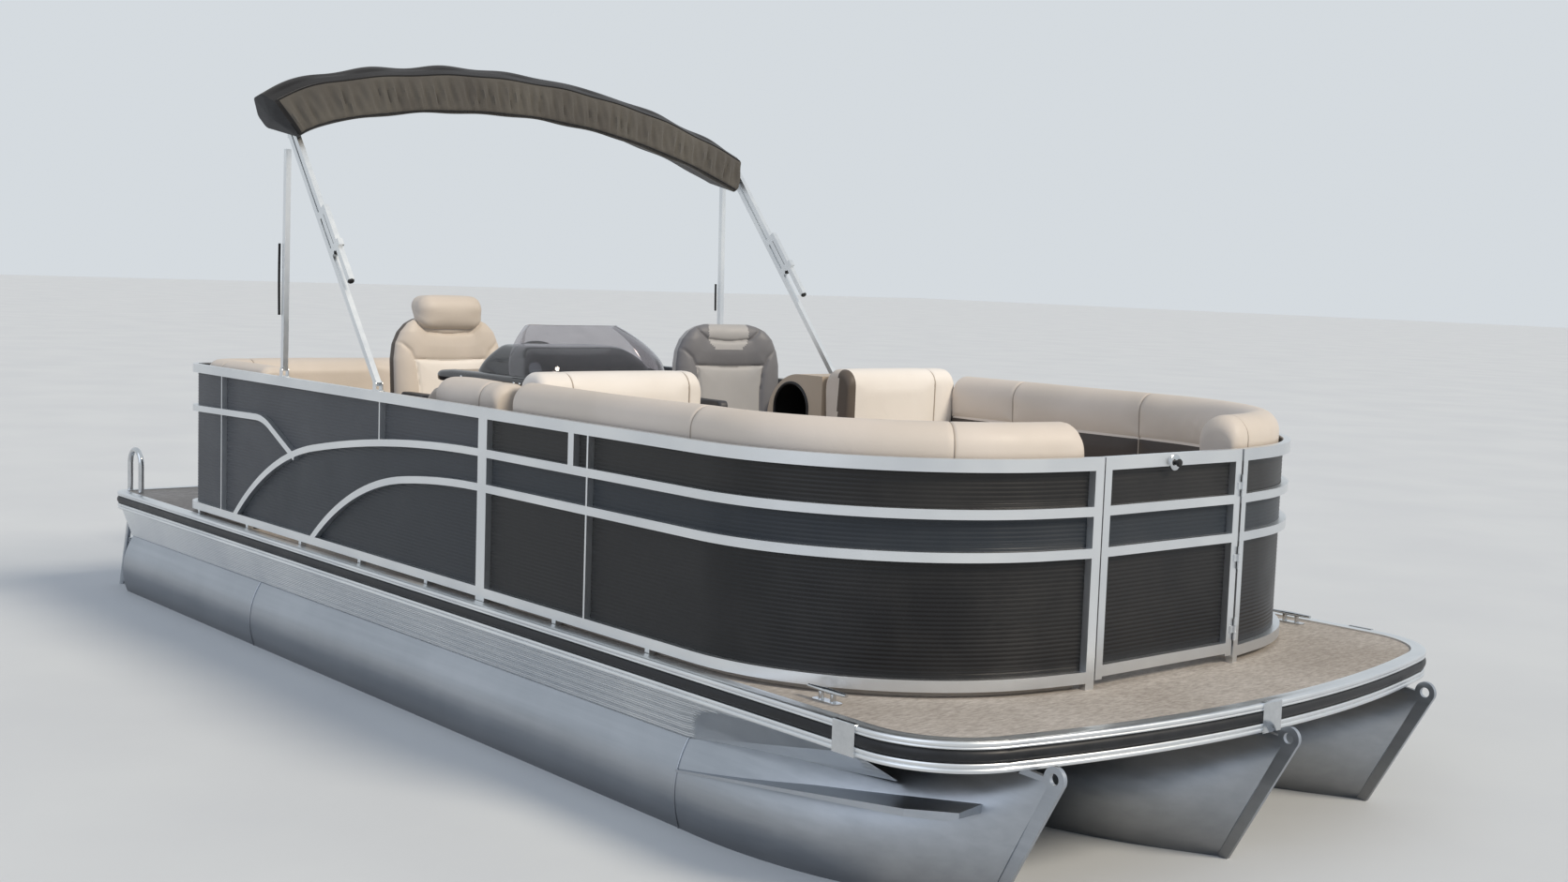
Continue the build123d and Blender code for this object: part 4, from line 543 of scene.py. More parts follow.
def densify(corners, step):
    """Closed outline through corners, cut into equal steps no longer than step."""
    out = []
    for a, b in zip(corners, np.roll(corners, -1, axis=0)):
        count = max(1, int(np.ceil(np.hypot(*(b - a)) / step)))
        out += [a + (b - a) * k / count for k in range(count)]
    return np.array(out)


def round_corners(corners, radii, step=SECTION_STEP):
    """Closed outline whose corners are rounded, each by its own radius."""
    corners = np.array(corners, float)
    out = []
    for i, radius in enumerate(radii):
        before, here, after = corners[i - 1], corners[i], corners[(i + 1) % len(corners)]
        u, v = (before - here) / np.hypot(*(before - here)), (after - here) / np.hypot(*(after - here))
        half = np.arccos(np.clip(u @ v, -1, 1)) / 2
        if radius < 1e-4 or half > 1.55:
            out.append(here)
            continue
        reach = radius / np.tan(half)
        centre = here + (u + v) / np.hypot(*(u + v)) * radius / np.sin(half)
        start, stop = here + u * reach - centre, here + v * reach - centre
        sweep = np.arctan2(start[0] * stop[1] - start[1] * stop[0], start @ stop)
        for t in np.linspace(0, 1, max(3, int(abs(sweep) * radius / step) + 2)):
            c, s = np.cos(sweep * t), np.sin(sweep * t)
            out.append(centre + (c * start[0] - s * start[1], s * start[0] + c * start[1]))
    return densify(np.array(out), step)


def stations(length, seams):
    """Places along a run, crowded in at each seam, and a mark for those that lie on one."""
    free = np.linspace(0, length, int(length / RUN_STEP) + 2)
    keep = [(s, 0) for s in free if all(abs(s - seam) > 0.010 for seam in seams)]
    near = [(seam + d, int(d == 0)) for seam in seams for d in (-STITCH_REACH, 0, STITCH_REACH)]
    both = sorted(keep + near)
    return np.array([b[0] for b in both]), np.array([b[1] for b in both])


def close_ends(rings, tangents, rounding):
    """Adds rings that round each end of a run off and close it to a small disc."""
    ends = []
    last_rings = (rings[0], -tangents[0], rounding[0]), (rings[-1], tangents[1], rounding[1])
    for ring, tangent, radius in last_rings:
        added = []
        middle = ring.mean(axis=0)
        arm = ring - middle
        size = np.linalg.norm(arm, axis=1)[:, None]
        for turn in END_TURNS:
            inset = radius * (1 - cos(turn)) / np.maximum(size, radius * 1.2)
            added.append(middle + arm * (1 - inset) + tangent * radius * sin(turn))
        edge = added[-1]
        middle = edge.mean(axis=0)
        for share in END_SHARES:
            added.append(middle + (edge - middle) * share + tangent * radius * 0.05 * (1 - share))
        ends.append(added)
    return np.concatenate([np.array(ends[0][::-1]), rings, np.array(ends[1])])


def close_rings(rings, low, high):
    """Points and faces of a skin over closed rings, with a fan round a point of its own at each end."""
    rows, count = len(rings), len(rings[0])
    points = np.concatenate([np.reshape(rings, (-1, 3)), [low, high]])
    start, top = rows * count, (rows - 1) * count
    faces = grid_faces(rows, count, False, True)
    faces += [(k, start, (k + 1) % count) for k in range(count)]
    faces += [(top + (k + 1) % count, start + 1, top + k) for k in range(count)]
    return points, faces


def blow_up(piece, pinned, cap):
    """Cloth under pressure for some frames, held at its pinned points, with each point's move capped.
    A pad that may move less than the least swell stays as it is drawn."""
    if cap < LEAST_SWELL:
        return
    mesh = piece.data
    start = np.array([v.co for v in mesh.vertices])
    group = piece.vertex_groups.new(name="seams")
    group.add([int(i) for i in np.nonzero(pinned)[0]], 1.0, "REPLACE")
    swell = piece.modifiers.new("swell", "CLOTH")
    for key, value in PUFF_CLOTH.items():
        setattr(swell.settings, key, value)
    swell.settings.effector_weights.gravity = 0
    swell.collision_settings.use_collision = False
    swell.point_cache.frame_start = 1
    swell.point_cache.frame_end = PUFF_FRAMES
    for step in range(1, PUFF_FRAMES + 1):
        bpy.context.scene.frame_set(step)
    shaped = piece.evaluated_get(bpy.context.evaluated_depsgraph_get()).to_mesh()
    moved = np.array([v.co for v in shaped.vertices])
    piece.to_mesh_clear()
    piece.modifiers.remove(swell)
    piece.vertex_groups.remove(group)
    move = moved - start
    size = np.linalg.norm(move, axis=1)[:, None]
    move *= np.where(size > cap, cap / np.maximum(size, 1e-9), 1.0)
    mesh.vertices.foreach_set("co", (start + move).astype(np.float32).ravel())
    bpy.context.scene.frame_set(1)
    mesh.update()


def rod(name, path, radius, material, body="hull", closed=False, sides=8):
    """Round rod along a line, with its ends closed."""
    path = np.array(path, float)
    ahead = np.roll(path, -1, axis=0) - np.roll(path, 1, axis=0)
    if not closed:
        ahead[0], ahead[-1] = path[1] - path[0], path[-1] - path[-2]
    ahead /= np.linalg.norm(ahead, axis=1)[:, None]
    across = np.cross(ahead[0], ASIDE)
    turns = np.linspace(0, 2 * pi, sides, endpoint=False)
    rings = []
    for spot, forward in zip(path, ahead):
        across = across - forward * (across @ forward)
        across /= np.linalg.norm(across)
        over = np.cross(forward, across)
        rings.append([spot + radius * (cos(t) * across + sin(t) * over) for t in turns])
    faces = grid_faces(len(path), sides, True, True) if closed else bar_faces(len(path), sides)
    return new_piece(name, np.reshape(rings, (-1, 3)), faces, material, body=body, sharp_deg=60)


def run_pad(
    name, line, section, pinned, seams, rounding, material,
    body="hull", replaces=None, cap=0.010, rigid=False,
):
    """Padded or rigid piece that follows a plan line. The section holds (depth in from the line, height),
    and pinned marks those of its points that stay put. A welt cord lies in each seam across the run."""
    length, place = line
    marks, on = stations(length, seams)
    rings = []
    for s, held in zip(marks, on):
        (x, y), (nx, ny) = place(s)
        ring = np.array([(x - nx * d, y - ny * d, z) for d, z in section])
        if held:
            arm = ring - ring.mean(axis=0)
            ring = ring - arm / np.linalg.norm(arm, axis=1)[:, None] * SEAM_DEPTH
            cord = rod(f"{name}_welt_{len(rings)}", ring, WELT_R, welt_vinyl, body=body, closed=True)
        rings.append(ring)
    tangents = []
    for s, d in ((0.0, 0.001), (length, -0.001)):
        step = np.append(np.subtract(place(s + d)[0], place(s)[0]) / d, 0.0)
        tangents.append(step / np.linalg.norm(step))
    closed = close_ends(np.array(rings), tangents, rounding)
    points, faces = close_rings(closed, closed[0].mean(axis=0), closed[-1].mean(axis=0))
    piece = new_piece(name, points, faces, material, body=body, sharp_deg=60)
    if not rigid:
        ends = np.ones((len(closed) - len(rings)) // 2)
        held_rings = np.concatenate([ends, on, ends]).astype(bool)
        on_seam = np.zeros(len(points), bool)
        on_seam[:-2] = (held_rings[:, None] | np.array(pinned, bool)[None, :]).ravel()
        blow_up(piece, on_seam, cap)
    if replaces:
        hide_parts(replaces)
    return piece


def straight_line(start, stop, normal):
    """Straight plan line: its length, and a function for the place and outward normal along it."""
    start, stop = np.array(start, float), np.array(stop, float)
    length = np.hypot(*(stop - start))
    return length, lambda s: (start + (stop - start) * s / length, normal)


# Bow couches: a tall back with a rolled crest stands against the fence, and a thick seat lies before it.
# Both bend with the fence round the bow corner. The back is beige above its groove and espresso below.
COUCH_AFT_X = 0.650
COUCH_BACK_END_Y = 0.440
COUCH_SEAT_END_Y = 0.520


def couch_line(side, end_y):
    """Outer face of the fence from the aft end of a bow couch, round the corner to the gate."""
    flat = FENCE_CORNER_X - COUCH_AFT_X
    bend = FENCE_BOW_R * (pi / 2 - BOW_SLANT)
    bend_x = FENCE_CORNER_X + FENCE_BOW_R * cos(BOW_SLANT)
    bend_y = FENCE_CORNER_Y + FENCE_BOW_R * sin(BOW_SLANT)
    rest = (bend_y - end_y) / cos(BOW_SLANT)

    def place(s):
        if s <= flat:
            spot, normal = (COUCH_AFT_X + s, FENCE_Y), (0.0, 1.0)
        elif s <= flat + bend:
            turn = pi / 2 - (s - flat) / FENCE_BOW_R
            normal = (cos(turn), sin(turn))
            spot = (FENCE_CORNER_X + FENCE_BOW_R * normal[0], FENCE_CORNER_Y + FENCE_BOW_R * normal[1])
        else:
            normal = (cos(BOW_SLANT), sin(BOW_SLANT))
            over = s - flat - bend
            spot = (bend_x + over * sin(BOW_SLANT), bend_y - over * cos(BOW_SLANT))
        return np.array((spot[0], side * spot[1])), (normal[0], side * normal[1])

    return flat + bend + rest, place


BACK_GROOVE = (0.183, 1.168)
BACK_SECTION = round_corners(
    [
        (0.042, 0.866), (0.042, 1.341), (0.196, 1.341), (0.190, 1.176), BACK_GROOVE, (0.190, 1.160),
        (0.194, 0.866),
    ],
    [0.020, 0.074, 0.076, 0.0, 0.0, 0.0, 0.020],
)
SEAT_SECTION = round_corners(
    [(0.206, 0.864), (0.206, 0.957), (0.612, 0.953), (0.612, 0.864)],
    [0.012, 0.030, 0.042, 0.020],
)
ESPRESSO_DEPTH = 0.180
ESPRESSO_TOP = 1.166
COUCH_SEAMS = {"starboard": (1.04, 2.00), "port": (0.345, 1.02, 2.395)}
back_pins = np.hypot(*(BACK_SECTION - np.array(BACK_GROOVE)).T) < 0.005
back_pins |= (BACK_SECTION[:, 0] < 0.060) | (BACK_SECTION[:, 1] < 0.870)
seat_pins = (SEAT_SECTION[:, 1] < 0.868) | (SEAT_SECTION[:, 0] < 0.214)
for side_name, side in (("starboard", -1), ("port", 1)):
    back = run_pad(
        f"couch_back_{side_name}", couch_line(side, COUCH_BACK_END_Y), BACK_SECTION, back_pins,
        COUCH_SEAMS[side_name], (0.020, 0.055), beige_vinyl,
        replaces=f"bow_couch_back_{side_name}",
    )
    back.data.materials.append(espresso_vinyl)
    for face in back.data.polygons:
        depth, height = BACK_SECTION[face.vertices[0] % len(BACK_SECTION)]
        if depth > ESPRESSO_DEPTH and height < ESPRESSO_TOP:
            face.material_index = 1
    run_pad(
        f"couch_seat_{side_name}", couch_line(side, COUCH_SEAT_END_Y), SEAT_SECTION, seat_pins,
        (0.66, 1.32), (0.010, 0.030), beige_vinyl,
        replaces=f"bow_couch_cushion_{side_name}", cap=0.012,
    )

# Chaise backs: forward-facing pads that close the aft end of each bow couch, with a boxed edge sewn on
# the inboard side of each. They are screwed to the couch bases.
CHAISE_FRONT_X = 0.632
# Depth of the painted shade, in umber, at the front of the port chaise's inboard side.
PAINTED_SHADE_BAND = 0.070
CHAISE_SECTION = round_corners(
    [(0.0, 0.866), (0.0, 1.371), (0.158, 1.371), (0.158, 0.866)],
    [0.014, 0.062, 0.062, 0.014],
)
CHAISES = {
    # side: outboard end, inboard end, seams from the outboard end
    "starboard": (-1.036, -0.372, (0.100, 0.636)),
    "port": (1.036, 0.474, (0.090,)),
}
chaise_pins = (CHAISE_SECTION[:, 1] < 0.872) | (CHAISE_SECTION[:, 0] > 0.150)
for side_name, (far_y, near_y, seams) in CHAISES.items():
    line = straight_line((CHAISE_FRONT_X, far_y), (CHAISE_FRONT_X, near_y), (1.0, 0.0))
    chaise = run_pad(
        f"chaise_pad_{side_name}", line, CHAISE_SECTION, chaise_pins, seams, (0.036, 0.036),
        pale_vinyl, replaces=f"chaise_back_{side_name}", cap=0.009,
    )
    chaise.data.materials.append(umber_vinyl_and_painted_shade)
    chaise.data.materials.append(beige_vinyl)
    # Painted shade: the front of the port chaise's inboard side is umber, and the rest of that side is beige.
    for face in chaise.data.polygons:
        if side_name == "port" and face.center.y < near_y - 0.006:
            face.material_index = 1 if face.center.x > CHAISE_FRONT_X - PAINTED_SHADE_BAND else 2


# Aft lounge: an L of seating round the starboard aft corner, with a back whose crest is rolled, and two
# thick seat pads that meet at the corner.
def bent_line(start, corner, stop, radius):
    """Plan line with one rounded right-angled corner, whose outward normal lies on the right of its way."""
    start, corner, stop = (np.array(p, float) for p in (start, corner, stop))
    first, second = corner - start, stop - corner
    first_length, second_length = np.hypot(*first), np.hypot(*second)
    u, v = first / first_length, second / second_length
    reach = first_length - radius
    bend = radius * pi / 2
    centre = start + u * reach + v * radius

    def place(s):
        if s <= reach:
            return start + u * s, tuple(-v)
        if s <= reach + bend:
            turn = (s - reach) / radius
            normal = -v * cos(turn) + u * sin(turn)
            return centre + radius * normal, tuple(normal)
        return centre + u * radius + v * (s - reach - bend), tuple(u)

    return reach + bend + second_length - radius, place


LOUNGE_BACK_SECTION = round_corners(
    [(0.004, 0.866), (0.004, 1.264), (0.150, 1.264), (0.156, 0.866)],
    [0.014, 0.052, 0.060, 0.014],
)
LOUNGE_SEAT_SECTION = round_corners(
    [(0.010, 0.864), (0.010, 0.954), (0.346, 0.950), (0.346, 0.864)],
    [0.012, 0.030, 0.042, 0.020],
)
LOUNGE_PATH = ((-1.536, -1.202), (-2.236, -1.202), (-2.236, 0.344))
LOUNGE_CORNER_R = 0.172
run_pad(
    "aft_lounge_back_pad", bent_line(*LOUNGE_PATH, LOUNGE_CORNER_R), LOUNGE_BACK_SECTION,
    (LOUNGE_BACK_SECTION[:, 0] < 0.020) | (LOUNGE_BACK_SECTION[:, 1] < 0.872), (0.42, 0.86, 1.50),
    (0.034, 0.034), beige_vinyl, replaces="aft_lounge_back", cap=0.006,
)
LOUNGE_SEATS = (
    # name, start, stop, outward normal, seams
    ("aft_lounge_side_seat", (-1.520, -1.024), (-2.040, -1.024), (0.0, -1.0), (0.27,)),
    ("aft_lounge_stern_seat", (-2.060, -0.640), (-2.060, 0.358), (-1.0, 0.0), (0.36, 0.80)),
)
lounge_seats = [
    run_pad(
        name, straight_line(start, stop, normal), LOUNGE_SEAT_SECTION, LOUNGE_SEAT_SECTION[:, 1] < 0.868,
        seams, (0.018, 0.018), beige_vinyl,
    )
    for name, start, stop, normal, seams in LOUNGE_SEATS
]
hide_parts("aft_lounge_cushion")

# Swivel chairs: bucket seats. A vinyl cover over moulded foam has side bolsters, a sewn yoke across the
# shoulders and a smooth panel behind the sitter. The back is bolted to the seat pan, which turns.
CHAIRS = {
    # name: pivot, turn at rest in degrees, colours of the cover, of the panels and of the rear shell, slot
    "captain": ((-0.960, -0.400), 0, (beige_vinyl, pale_vinyl), umber_vinyl_and_painted_shade, "beige_vinyl"),
    "companion": ((-0.360, 0.742), -10, (grey_vinyl, silver_vinyl), silver_vinyl, "grey_vinyl"),
}
BACK_FOOT = (-0.325, 0.880)
BACK_TILT = radians(4)
BACK_TOP = 0.628
BACK_HALF_T = 0.052
BACK_MID = 0.056
BACK_HALVES = (
    # height, half width
    (0.000, 0.200), (0.030, 0.222), (0.130, 0.272), (0.250, 0.282), (0.430, 0.283), (0.500, 0.272),
    (0.555, 0.246), (0.595, 0.208), (0.616, 0.168), (0.628, 0.120),
)
# Lines sewn into the front of a back, as (across, height).
BOLSTER_SEAM = (
    (0.290, 0.520), (0.246, 0.502), (0.206, 0.466), (0.178, 0.404), (0.164, 0.300), (0.162, 0.150),
    (0.172, 0.0),
)
YOKE_SEAM = ((0.186, 0.430), (0.100, 0.424), (0.0, 0.422), (-0.100, 0.424), (-0.186, 0.430))
CREST_SEAM = (
    (0.176, 0.640), (0.160, 0.590), (0.118, 0.556), (0.0, 0.544), (-0.118, 0.556), (-0.160, 0.590),
    (-0.176, 0.640),
)
BACK_SEAMS = (BOLSTER_SEAM, tuple((-u, v) for u, v in BOLSTER_SEAM), YOKE_SEAM, CREST_SEAM)
PANEL_EDGE = ((0, 0.172), (0.15, 0.162), (0.30, 0.164), (0.404, 0.178), (0.430, 0.186))
YOKE_HEIGHT = 0.423
BACK_SIDES = 190
BACK_DISH = 0.012
BOLSTER_RISE = 0.026
BOLSTER_START = 0.09
BOLSTER_WIDTH = 0.15
PANEL_SWELL = 0.011
PANEL_EDGE_R = 0.030
GROOVE_DEPTH = 0.007
GROOVE_HALF = 0.005
CREST_ROUND_FROM = 0.560
CREST_ROUND = 0.078


def gap_to(line, u, v):
    """Distance of points from a line of straight pieces."""
    spots = np.stack([u, v], -1)
    best = np.full(u.shape, 9.0)
    for a, b in zip(np.array(line[:-1]), np.array(line[1:])):
        share = np.clip(((spots - a) @ (b - a)) / ((b - a) @ (b - a)), 0, 1)
        best = np.minimum(best, np.linalg.norm(spots - (a + share[..., None] * (b - a)), axis=-1))
    return best


def squared_circle(count, power):
    """Points round a circle of radius 1 that is squared off by a power: both coordinates."""
    turns = np.linspace(0, 2 * pi, count, endpoint=False)
    return tuple(np.sign(wave) * np.abs(wave) ** power for wave in (np.cos(turns), np.sin(turns)))


def chair_back(name, spot, turn, covers, rear):
    """Closed shell of a chair back, in level rings, with panels that swell between the sewn grooves."""
    levels = np.concatenate([np.linspace(0, 0.540, 78), np.linspace(0.547, BACK_TOP, 22)])
    halves = np.interp(levels, *np.array(BACK_HALVES).T)
    u, d = squared_circle(BACK_SIDES, 0.62)
    wide = halves[:, None] * u[None, :]
    high = np.repeat(levels[:, None], len(u), axis=1)
    over = np.clip(levels - CREST_ROUND_FROM, 0, None) / CREST_ROUND
    thin = BACK_HALF_T * np.sqrt(np.clip(1 - over ** 2, 0.05, 1))
    deep = BACK_MID + thin[:, None] * d[None, :]
    front = np.clip(d[None, :], 0, 1) * np.ones_like(wide)
    seam_gap = np.min([gap_to(line, wide, high) for line in BACK_SEAMS], axis=0)
    dish = np.clip((np.abs(wide) - BOLSTER_START) / BOLSTER_WIDTH, 0, 1)
    deep += front * (BOLSTER_RISE * dish * dish * (3 - 2 * dish) - BACK_DISH)
    swell = PANEL_SWELL * (1 - np.exp(-seam_gap / PANEL_EDGE_R))
    groove = GROOVE_DEPTH * np.exp(-((seam_gap / GROOVE_HALF) ** 2))
    deep += front * (swell - groove)
    (px, py), c, s = spot, cos(radians(turn)), sin(radians(turn))
    x = BACK_FOOT[0] - sin(BACK_TILT) * high + cos(BACK_TILT) * deep
    z = BACK_FOOT[1] + cos(BACK_TILT) * high + sin(BACK_TILT) * deep
    rings = np.stack([px + c * x - s * wide, py + s * x + c * wide, z], -1)
    points, faces = close_rings(rings, rings[0].mean(axis=0), rings[-1].mean(axis=0))
    piece = new_piece(name, points, faces, covers[0], body=f"{name.split('_')[0]}_seat", sharp_deg=70)
    for extra in (covers[1], rear):
        piece.data.materials.append(extra)
    for face in piece.data.polygons:
        k = face.vertices[0]
        if k >= wide.size:
            continue
        i, j = divmod(k, BACK_SIDES)
        across, height = abs(wide[i, j]), high[i, j]
        inner = height < YOKE_HEIGHT and across < np.interp(height, *np.array(PANEL_EDGE).T)
        crest_half = 0.110 - 0.9 * max(0, 0.545 - height)
        crest = name.startswith("companion") and height > 0.500 and across < crest_half
        # The rear colour wraps onto the rear of each side; on the captain's chair the umber on its sides is a
        # painted shade.
        if d[j] < 0.30:
            face.material_index = 2
        elif inner or crest:
            face.material_index = 1
    return piece


SEAT_PAD_SECTION = round_corners(
    [(0.0, 0.852), (0.0, 0.962), (0.480, 0.952), (0.480, 0.852)],
    [0.022, 0.044, 0.024, 0.014],
)
ARM_PAD_SECTION = round_corners(
    [(0.0, 1.124), (0.006, 1.176), (0.392, 1.170), (0.392, 1.124)],
    [0.018, 0.022, 0.022, 0.018],
)
ARM_PANEL_SECTION = round_corners(
    [(0.036, 1.122), (0.392, 1.122), (0.372, 0.864), (0.140, 0.864), (0.132, 1.070)],
    [0.016, 0.016, 0.020, 0.020, 0.040],
)
SEAT_FRONT_X = 0.284
SEAT_HALF = 0.190
ARM_FRONT_X = 0.166
ARM_Y = 0.250
ARM_HALF_T = 0.010
for chair, (spot, turn, covers, rear, slot) in CHAIRS.items():
    back = chair_back(f"{chair}_back_pad", spot, turn, covers, rear)
    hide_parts(f"{chair}_chair_back")
    (px, py), c, s = spot, cos(radians(turn)), sin(radians(turn))

    def across_chair(x, near, far):
        """Line across a chair from one side to the other, x ahead of its pivot."""
        ends = [(px + c * x - s * y, py + s * x + c * y) for y in (near, far)]
        return straight_line(*ends, (c, s))

    run_pad(
        f"{chair}_seat_pad", across_chair(SEAT_FRONT_X, -SEAT_HALF, SEAT_HALF), SEAT_PAD_SECTION,
        SEAT_PAD_SECTION[:, 1] < 0.858, (0.070, 0.310), (0.032, 0.032), covers[0],
        body=f"{chair}_seat", replaces=f"{chair}_chair_seat", cap=0.012,
    )
    for side_name, side in (("starboard", -1), ("port", 1)):
        for part_name, section, round_off, cover in (
            ("panel", ARM_PANEL_SECTION, 0.010, covers[0]),
            ("pad", ARM_PAD_SECTION, 0.014, charcoal_vinyl),
        ):
            line = across_chair(ARM_FRONT_X, side * ARM_Y - ARM_HALF_T, side * ARM_Y + ARM_HALF_T)
            run_pad(
                f"{chair}_arm_{part_name}_{side_name}", line, section, section[:, 1] < 0.9, (),
                (round_off, round_off), cover, body=f"{chair}_seat", cap=0.002,
            )
    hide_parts(f"{chair}_chair_arms")
HEADREST_SECTION = round_corners(
    [
        (0.004, 1.462), (-0.010, 1.560), (0.022, 1.610), (0.128, 1.606), (0.142, 1.560), (0.120, 1.520),
        (0.074, 1.448),
    ],
    [0.034, 0.050, 0.044, 0.030, 0.020, 0.030, 0.026],
)
run_pad(
    "captain_headrest_pad", straight_line((-1.190, -0.506), (-1.190, -0.294), (1.0, 0.0)),
    HEADREST_SECTION, HEADREST_SECTION[:, 0] > 0.10, (), (0.062, 0.062), beige_vinyl,
    body="captain_seat", cap=0.007,
)

# Helm console: a moulded polyethylene body with a padded vinyl coaming screwed along its fence side. The
# bases of the couches and of the lounge are moulded in the same way.
shell_plastic, tree, shader, place = new_material("rotomoulded_polyethylene", Specular_IOR_Level=0.35)
stipple = add_node(tree, "TexNoise", {"Vector": place, "Scale": 1000 / 2.38, "Detail": 2.0})
cast = add_node(tree, "TexNoise", {"Vector": place, "Scale": 1000 / 333, "Detail": 3.0})
vary(shader, "Base Color", cast.outputs["Fac"], (0.3, "#BFB4A7"), (0.7, "#CBC1B5"))
vary(shader, "Roughness", cast.outputs["Fac"], (0.3, 0.44), (0.7, 0.56))
relief = add_node(tree, "Bump", {"Height": stipple.outputs["Fac"], "Strength": 0.25, "Distance": 0.0008})
tree.links.new(relief.outputs["Normal"], shader.inputs["Normal"])
dress(shell_plastic, "bow_couch_base_starboard", "bow_couch_base_port", "aft_lounge_base")

CONSOLE_SECTION = round_corners(
    [
        (0.298, 0.528), (-0.458, 0.528), (-0.458, 1.254), (-0.399, 1.283), (0.328, 1.253), (0.388, 1.210),
        (0.298, 1.062),
    ],
    [0.004, 0.004, 0.020, 0.030, 0.024, 0.020, 0.030],
)
COAMING_SECTION = round_corners(
    [(0.004, 0.906), (0.004, 1.322), (0.156, 1.318), (0.156, 0.906)],
    [0.020, 0.066, 0.050, 0.020],
)
run_pad(
    "console_body", straight_line((0.0, -0.958), (0.0, -0.352), (1.0, 0.0)), CONSOLE_SECTION, (), (),
    (0.030, 0.030), shell_plastic, replaces="helm_console", rigid=True,
)
run_pad(
    "console_coaming_pad", straight_line((0.026, -1.158), (0.404, -1.158), (0.0, -1.0)), COAMING_SECTION,
    COAMING_SECTION[:, 1] < 0.915, (0.300,), (0.046, 0.036), beige_vinyl, cap=0.008,
)

# Dash and hood: thermoformed ABS in a deep brown black, polished, with a clear glossy skin and fine dust.
# The slab is screwed down on the console, and the hood stands on it over the gauges.
gloss_abs, tree, shader, place = new_material(
    "polished_thermoformed_abs", Specular_IOR_Level=0.6, Coat_Weight=0.4, Coat_Roughness=0.05,
)
haze = add_node(tree, "TexNoise", {"Vector": place, "Scale": 1000 / 200, "Detail": 6.0, "Roughness": 0.65})
vary(shader, "Base Color", haze.outputs["Fac"], (0.35, "#191516"), (0.75, "#2A2526"))
vary(shader, "Roughness", haze.outputs["Fac"], (0.3, 0.10), (0.7, 0.22))


def inset_plan(outline, inset):
    """Plan outline drawn in by an inset along its own normals."""
    ahead = np.roll(outline, -1, axis=0) - np.roll(outline, 1, axis=0)
    normal = np.stack([ahead[:, 1], -ahead[:, 0]], 1) / np.linalg.norm(ahead, axis=1)[:, None]
    x, y = outline.T
    area = (x * np.roll(y, -1) - np.roll(x, -1) * y).sum()
    return outline - normal * inset * np.sign(area)


def stack_plans(name, plans, material):
    """Closed solid through plans of equal point counts, each an array of (x, y, z)."""
    faces = bar_faces(len(plans), len(plans[0]))
    return new_piece(name, np.concatenate(plans), faces, material, sharp_deg=35)


def between(pair, share):
    """Value at a share of the way from the first of a pair to the second."""
    return pair[0] + (pair[1] - pair[0]) * share


DASH_LOW_Z = 1.286
DASH_PLAN = round_corners(
    [
        (-0.343, -0.988), (-0.343, -0.742), (-0.223, -0.720), (-0.223, -0.322), (0.463, -0.322),
        (0.463, -0.988),
    ],
    [0.080, 0.080, 0.040, 0.070, 0.070, 0.070], step=0.016,
)
DASH_LEVELS = (
    # height over the console, inset
    (0.000, 0.012), (0.004, 0.004), (0.012, 0.001), (0.030, 0.000), (0.040, 0.003), (0.047, 0.010),
    (0.051, 0.020), (0.052, 0.034),
)
plans = []
for height, inset in DASH_LEVELS:
    plan = inset_plan(DASH_PLAN, inset)
    thin = np.interp(plan[:, 0], [-0.343, -0.200, 0.0], [0.74, 0.96, 1.0])
    plans.append(np.column_stack([plan, DASH_LOW_Z + height * thin]))
dash_slab = stack_plans("dash_moulding", plans, gloss_abs)
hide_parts("dash_pod")
# The hood's sizes at its foot and at its top, and how far its crest draws in over the last of its height.
HOOD_Z = (1.334, 1.450)
HOOD_AFT = (-0.088, -0.002)
HOOD_FORE = (0.386, 0.260)
HOOD_HALF = (0.283, 0.213)
HOOD_Y = -0.655
HOOD_CREST = [(0.965, 0.005), (0.99, 0.014), (1.0, 0.028)]
plans = []
for share, inset in [(t, 0.0) for t in np.linspace(0, 0.92, 12)] + HOOD_CREST:
    bulge = share ** 2.2
    aft, fore, half = between(HOOD_AFT, share), between(HOOD_FORE, bulge), between(HOOD_HALF, bulge)
    corners = [(aft, -half), (aft, half), (fore, half), (fore, -half)]
    plan = round_corners(corners, [0.05, 0.05, 0.09, 0.09], step=0.02)
    if not plans:
        count = len(plan)
    steps = np.linspace(0, len(plan), count, endpoint=False)
    wrapped = np.vstack([plan, plan[:1]])
    marks = np.arange(len(wrapped))
    plan = np.column_stack([np.interp(steps, marks, wrapped[:, k]) for k in (0, 1)])
    plan = inset_plan(plan, inset) + np.array((0, HOOD_Y))
    plans.append(np.column_stack([plan, np.full(count, between(HOOD_Z, share))]))
hood = stack_plans("instrument_hood", plans, gloss_abs)

# Windshield: one sheet of smoked cast acrylic, drape formed, with a polished edge. It wraps round the
# hood, and its sides end in a slant.
smoked, tree, shader, place = new_material("smoked_cast_acrylic", IOR=1.49, Transmission_Weight=1.0)
wipe = add_node(tree, "TexNoise", {"Vector": place, "Scale": 1000 / 71.4, "Detail": 5.0})
vary(shader, "Base Color", wipe.outputs["Fac"], (0.3, "#BDB9BC"), (0.7, "#C6C2C5"))
vary(shader, "Roughness", wipe.outputs["Fac"], (0.4, 0.015), (0.8, 0.06))
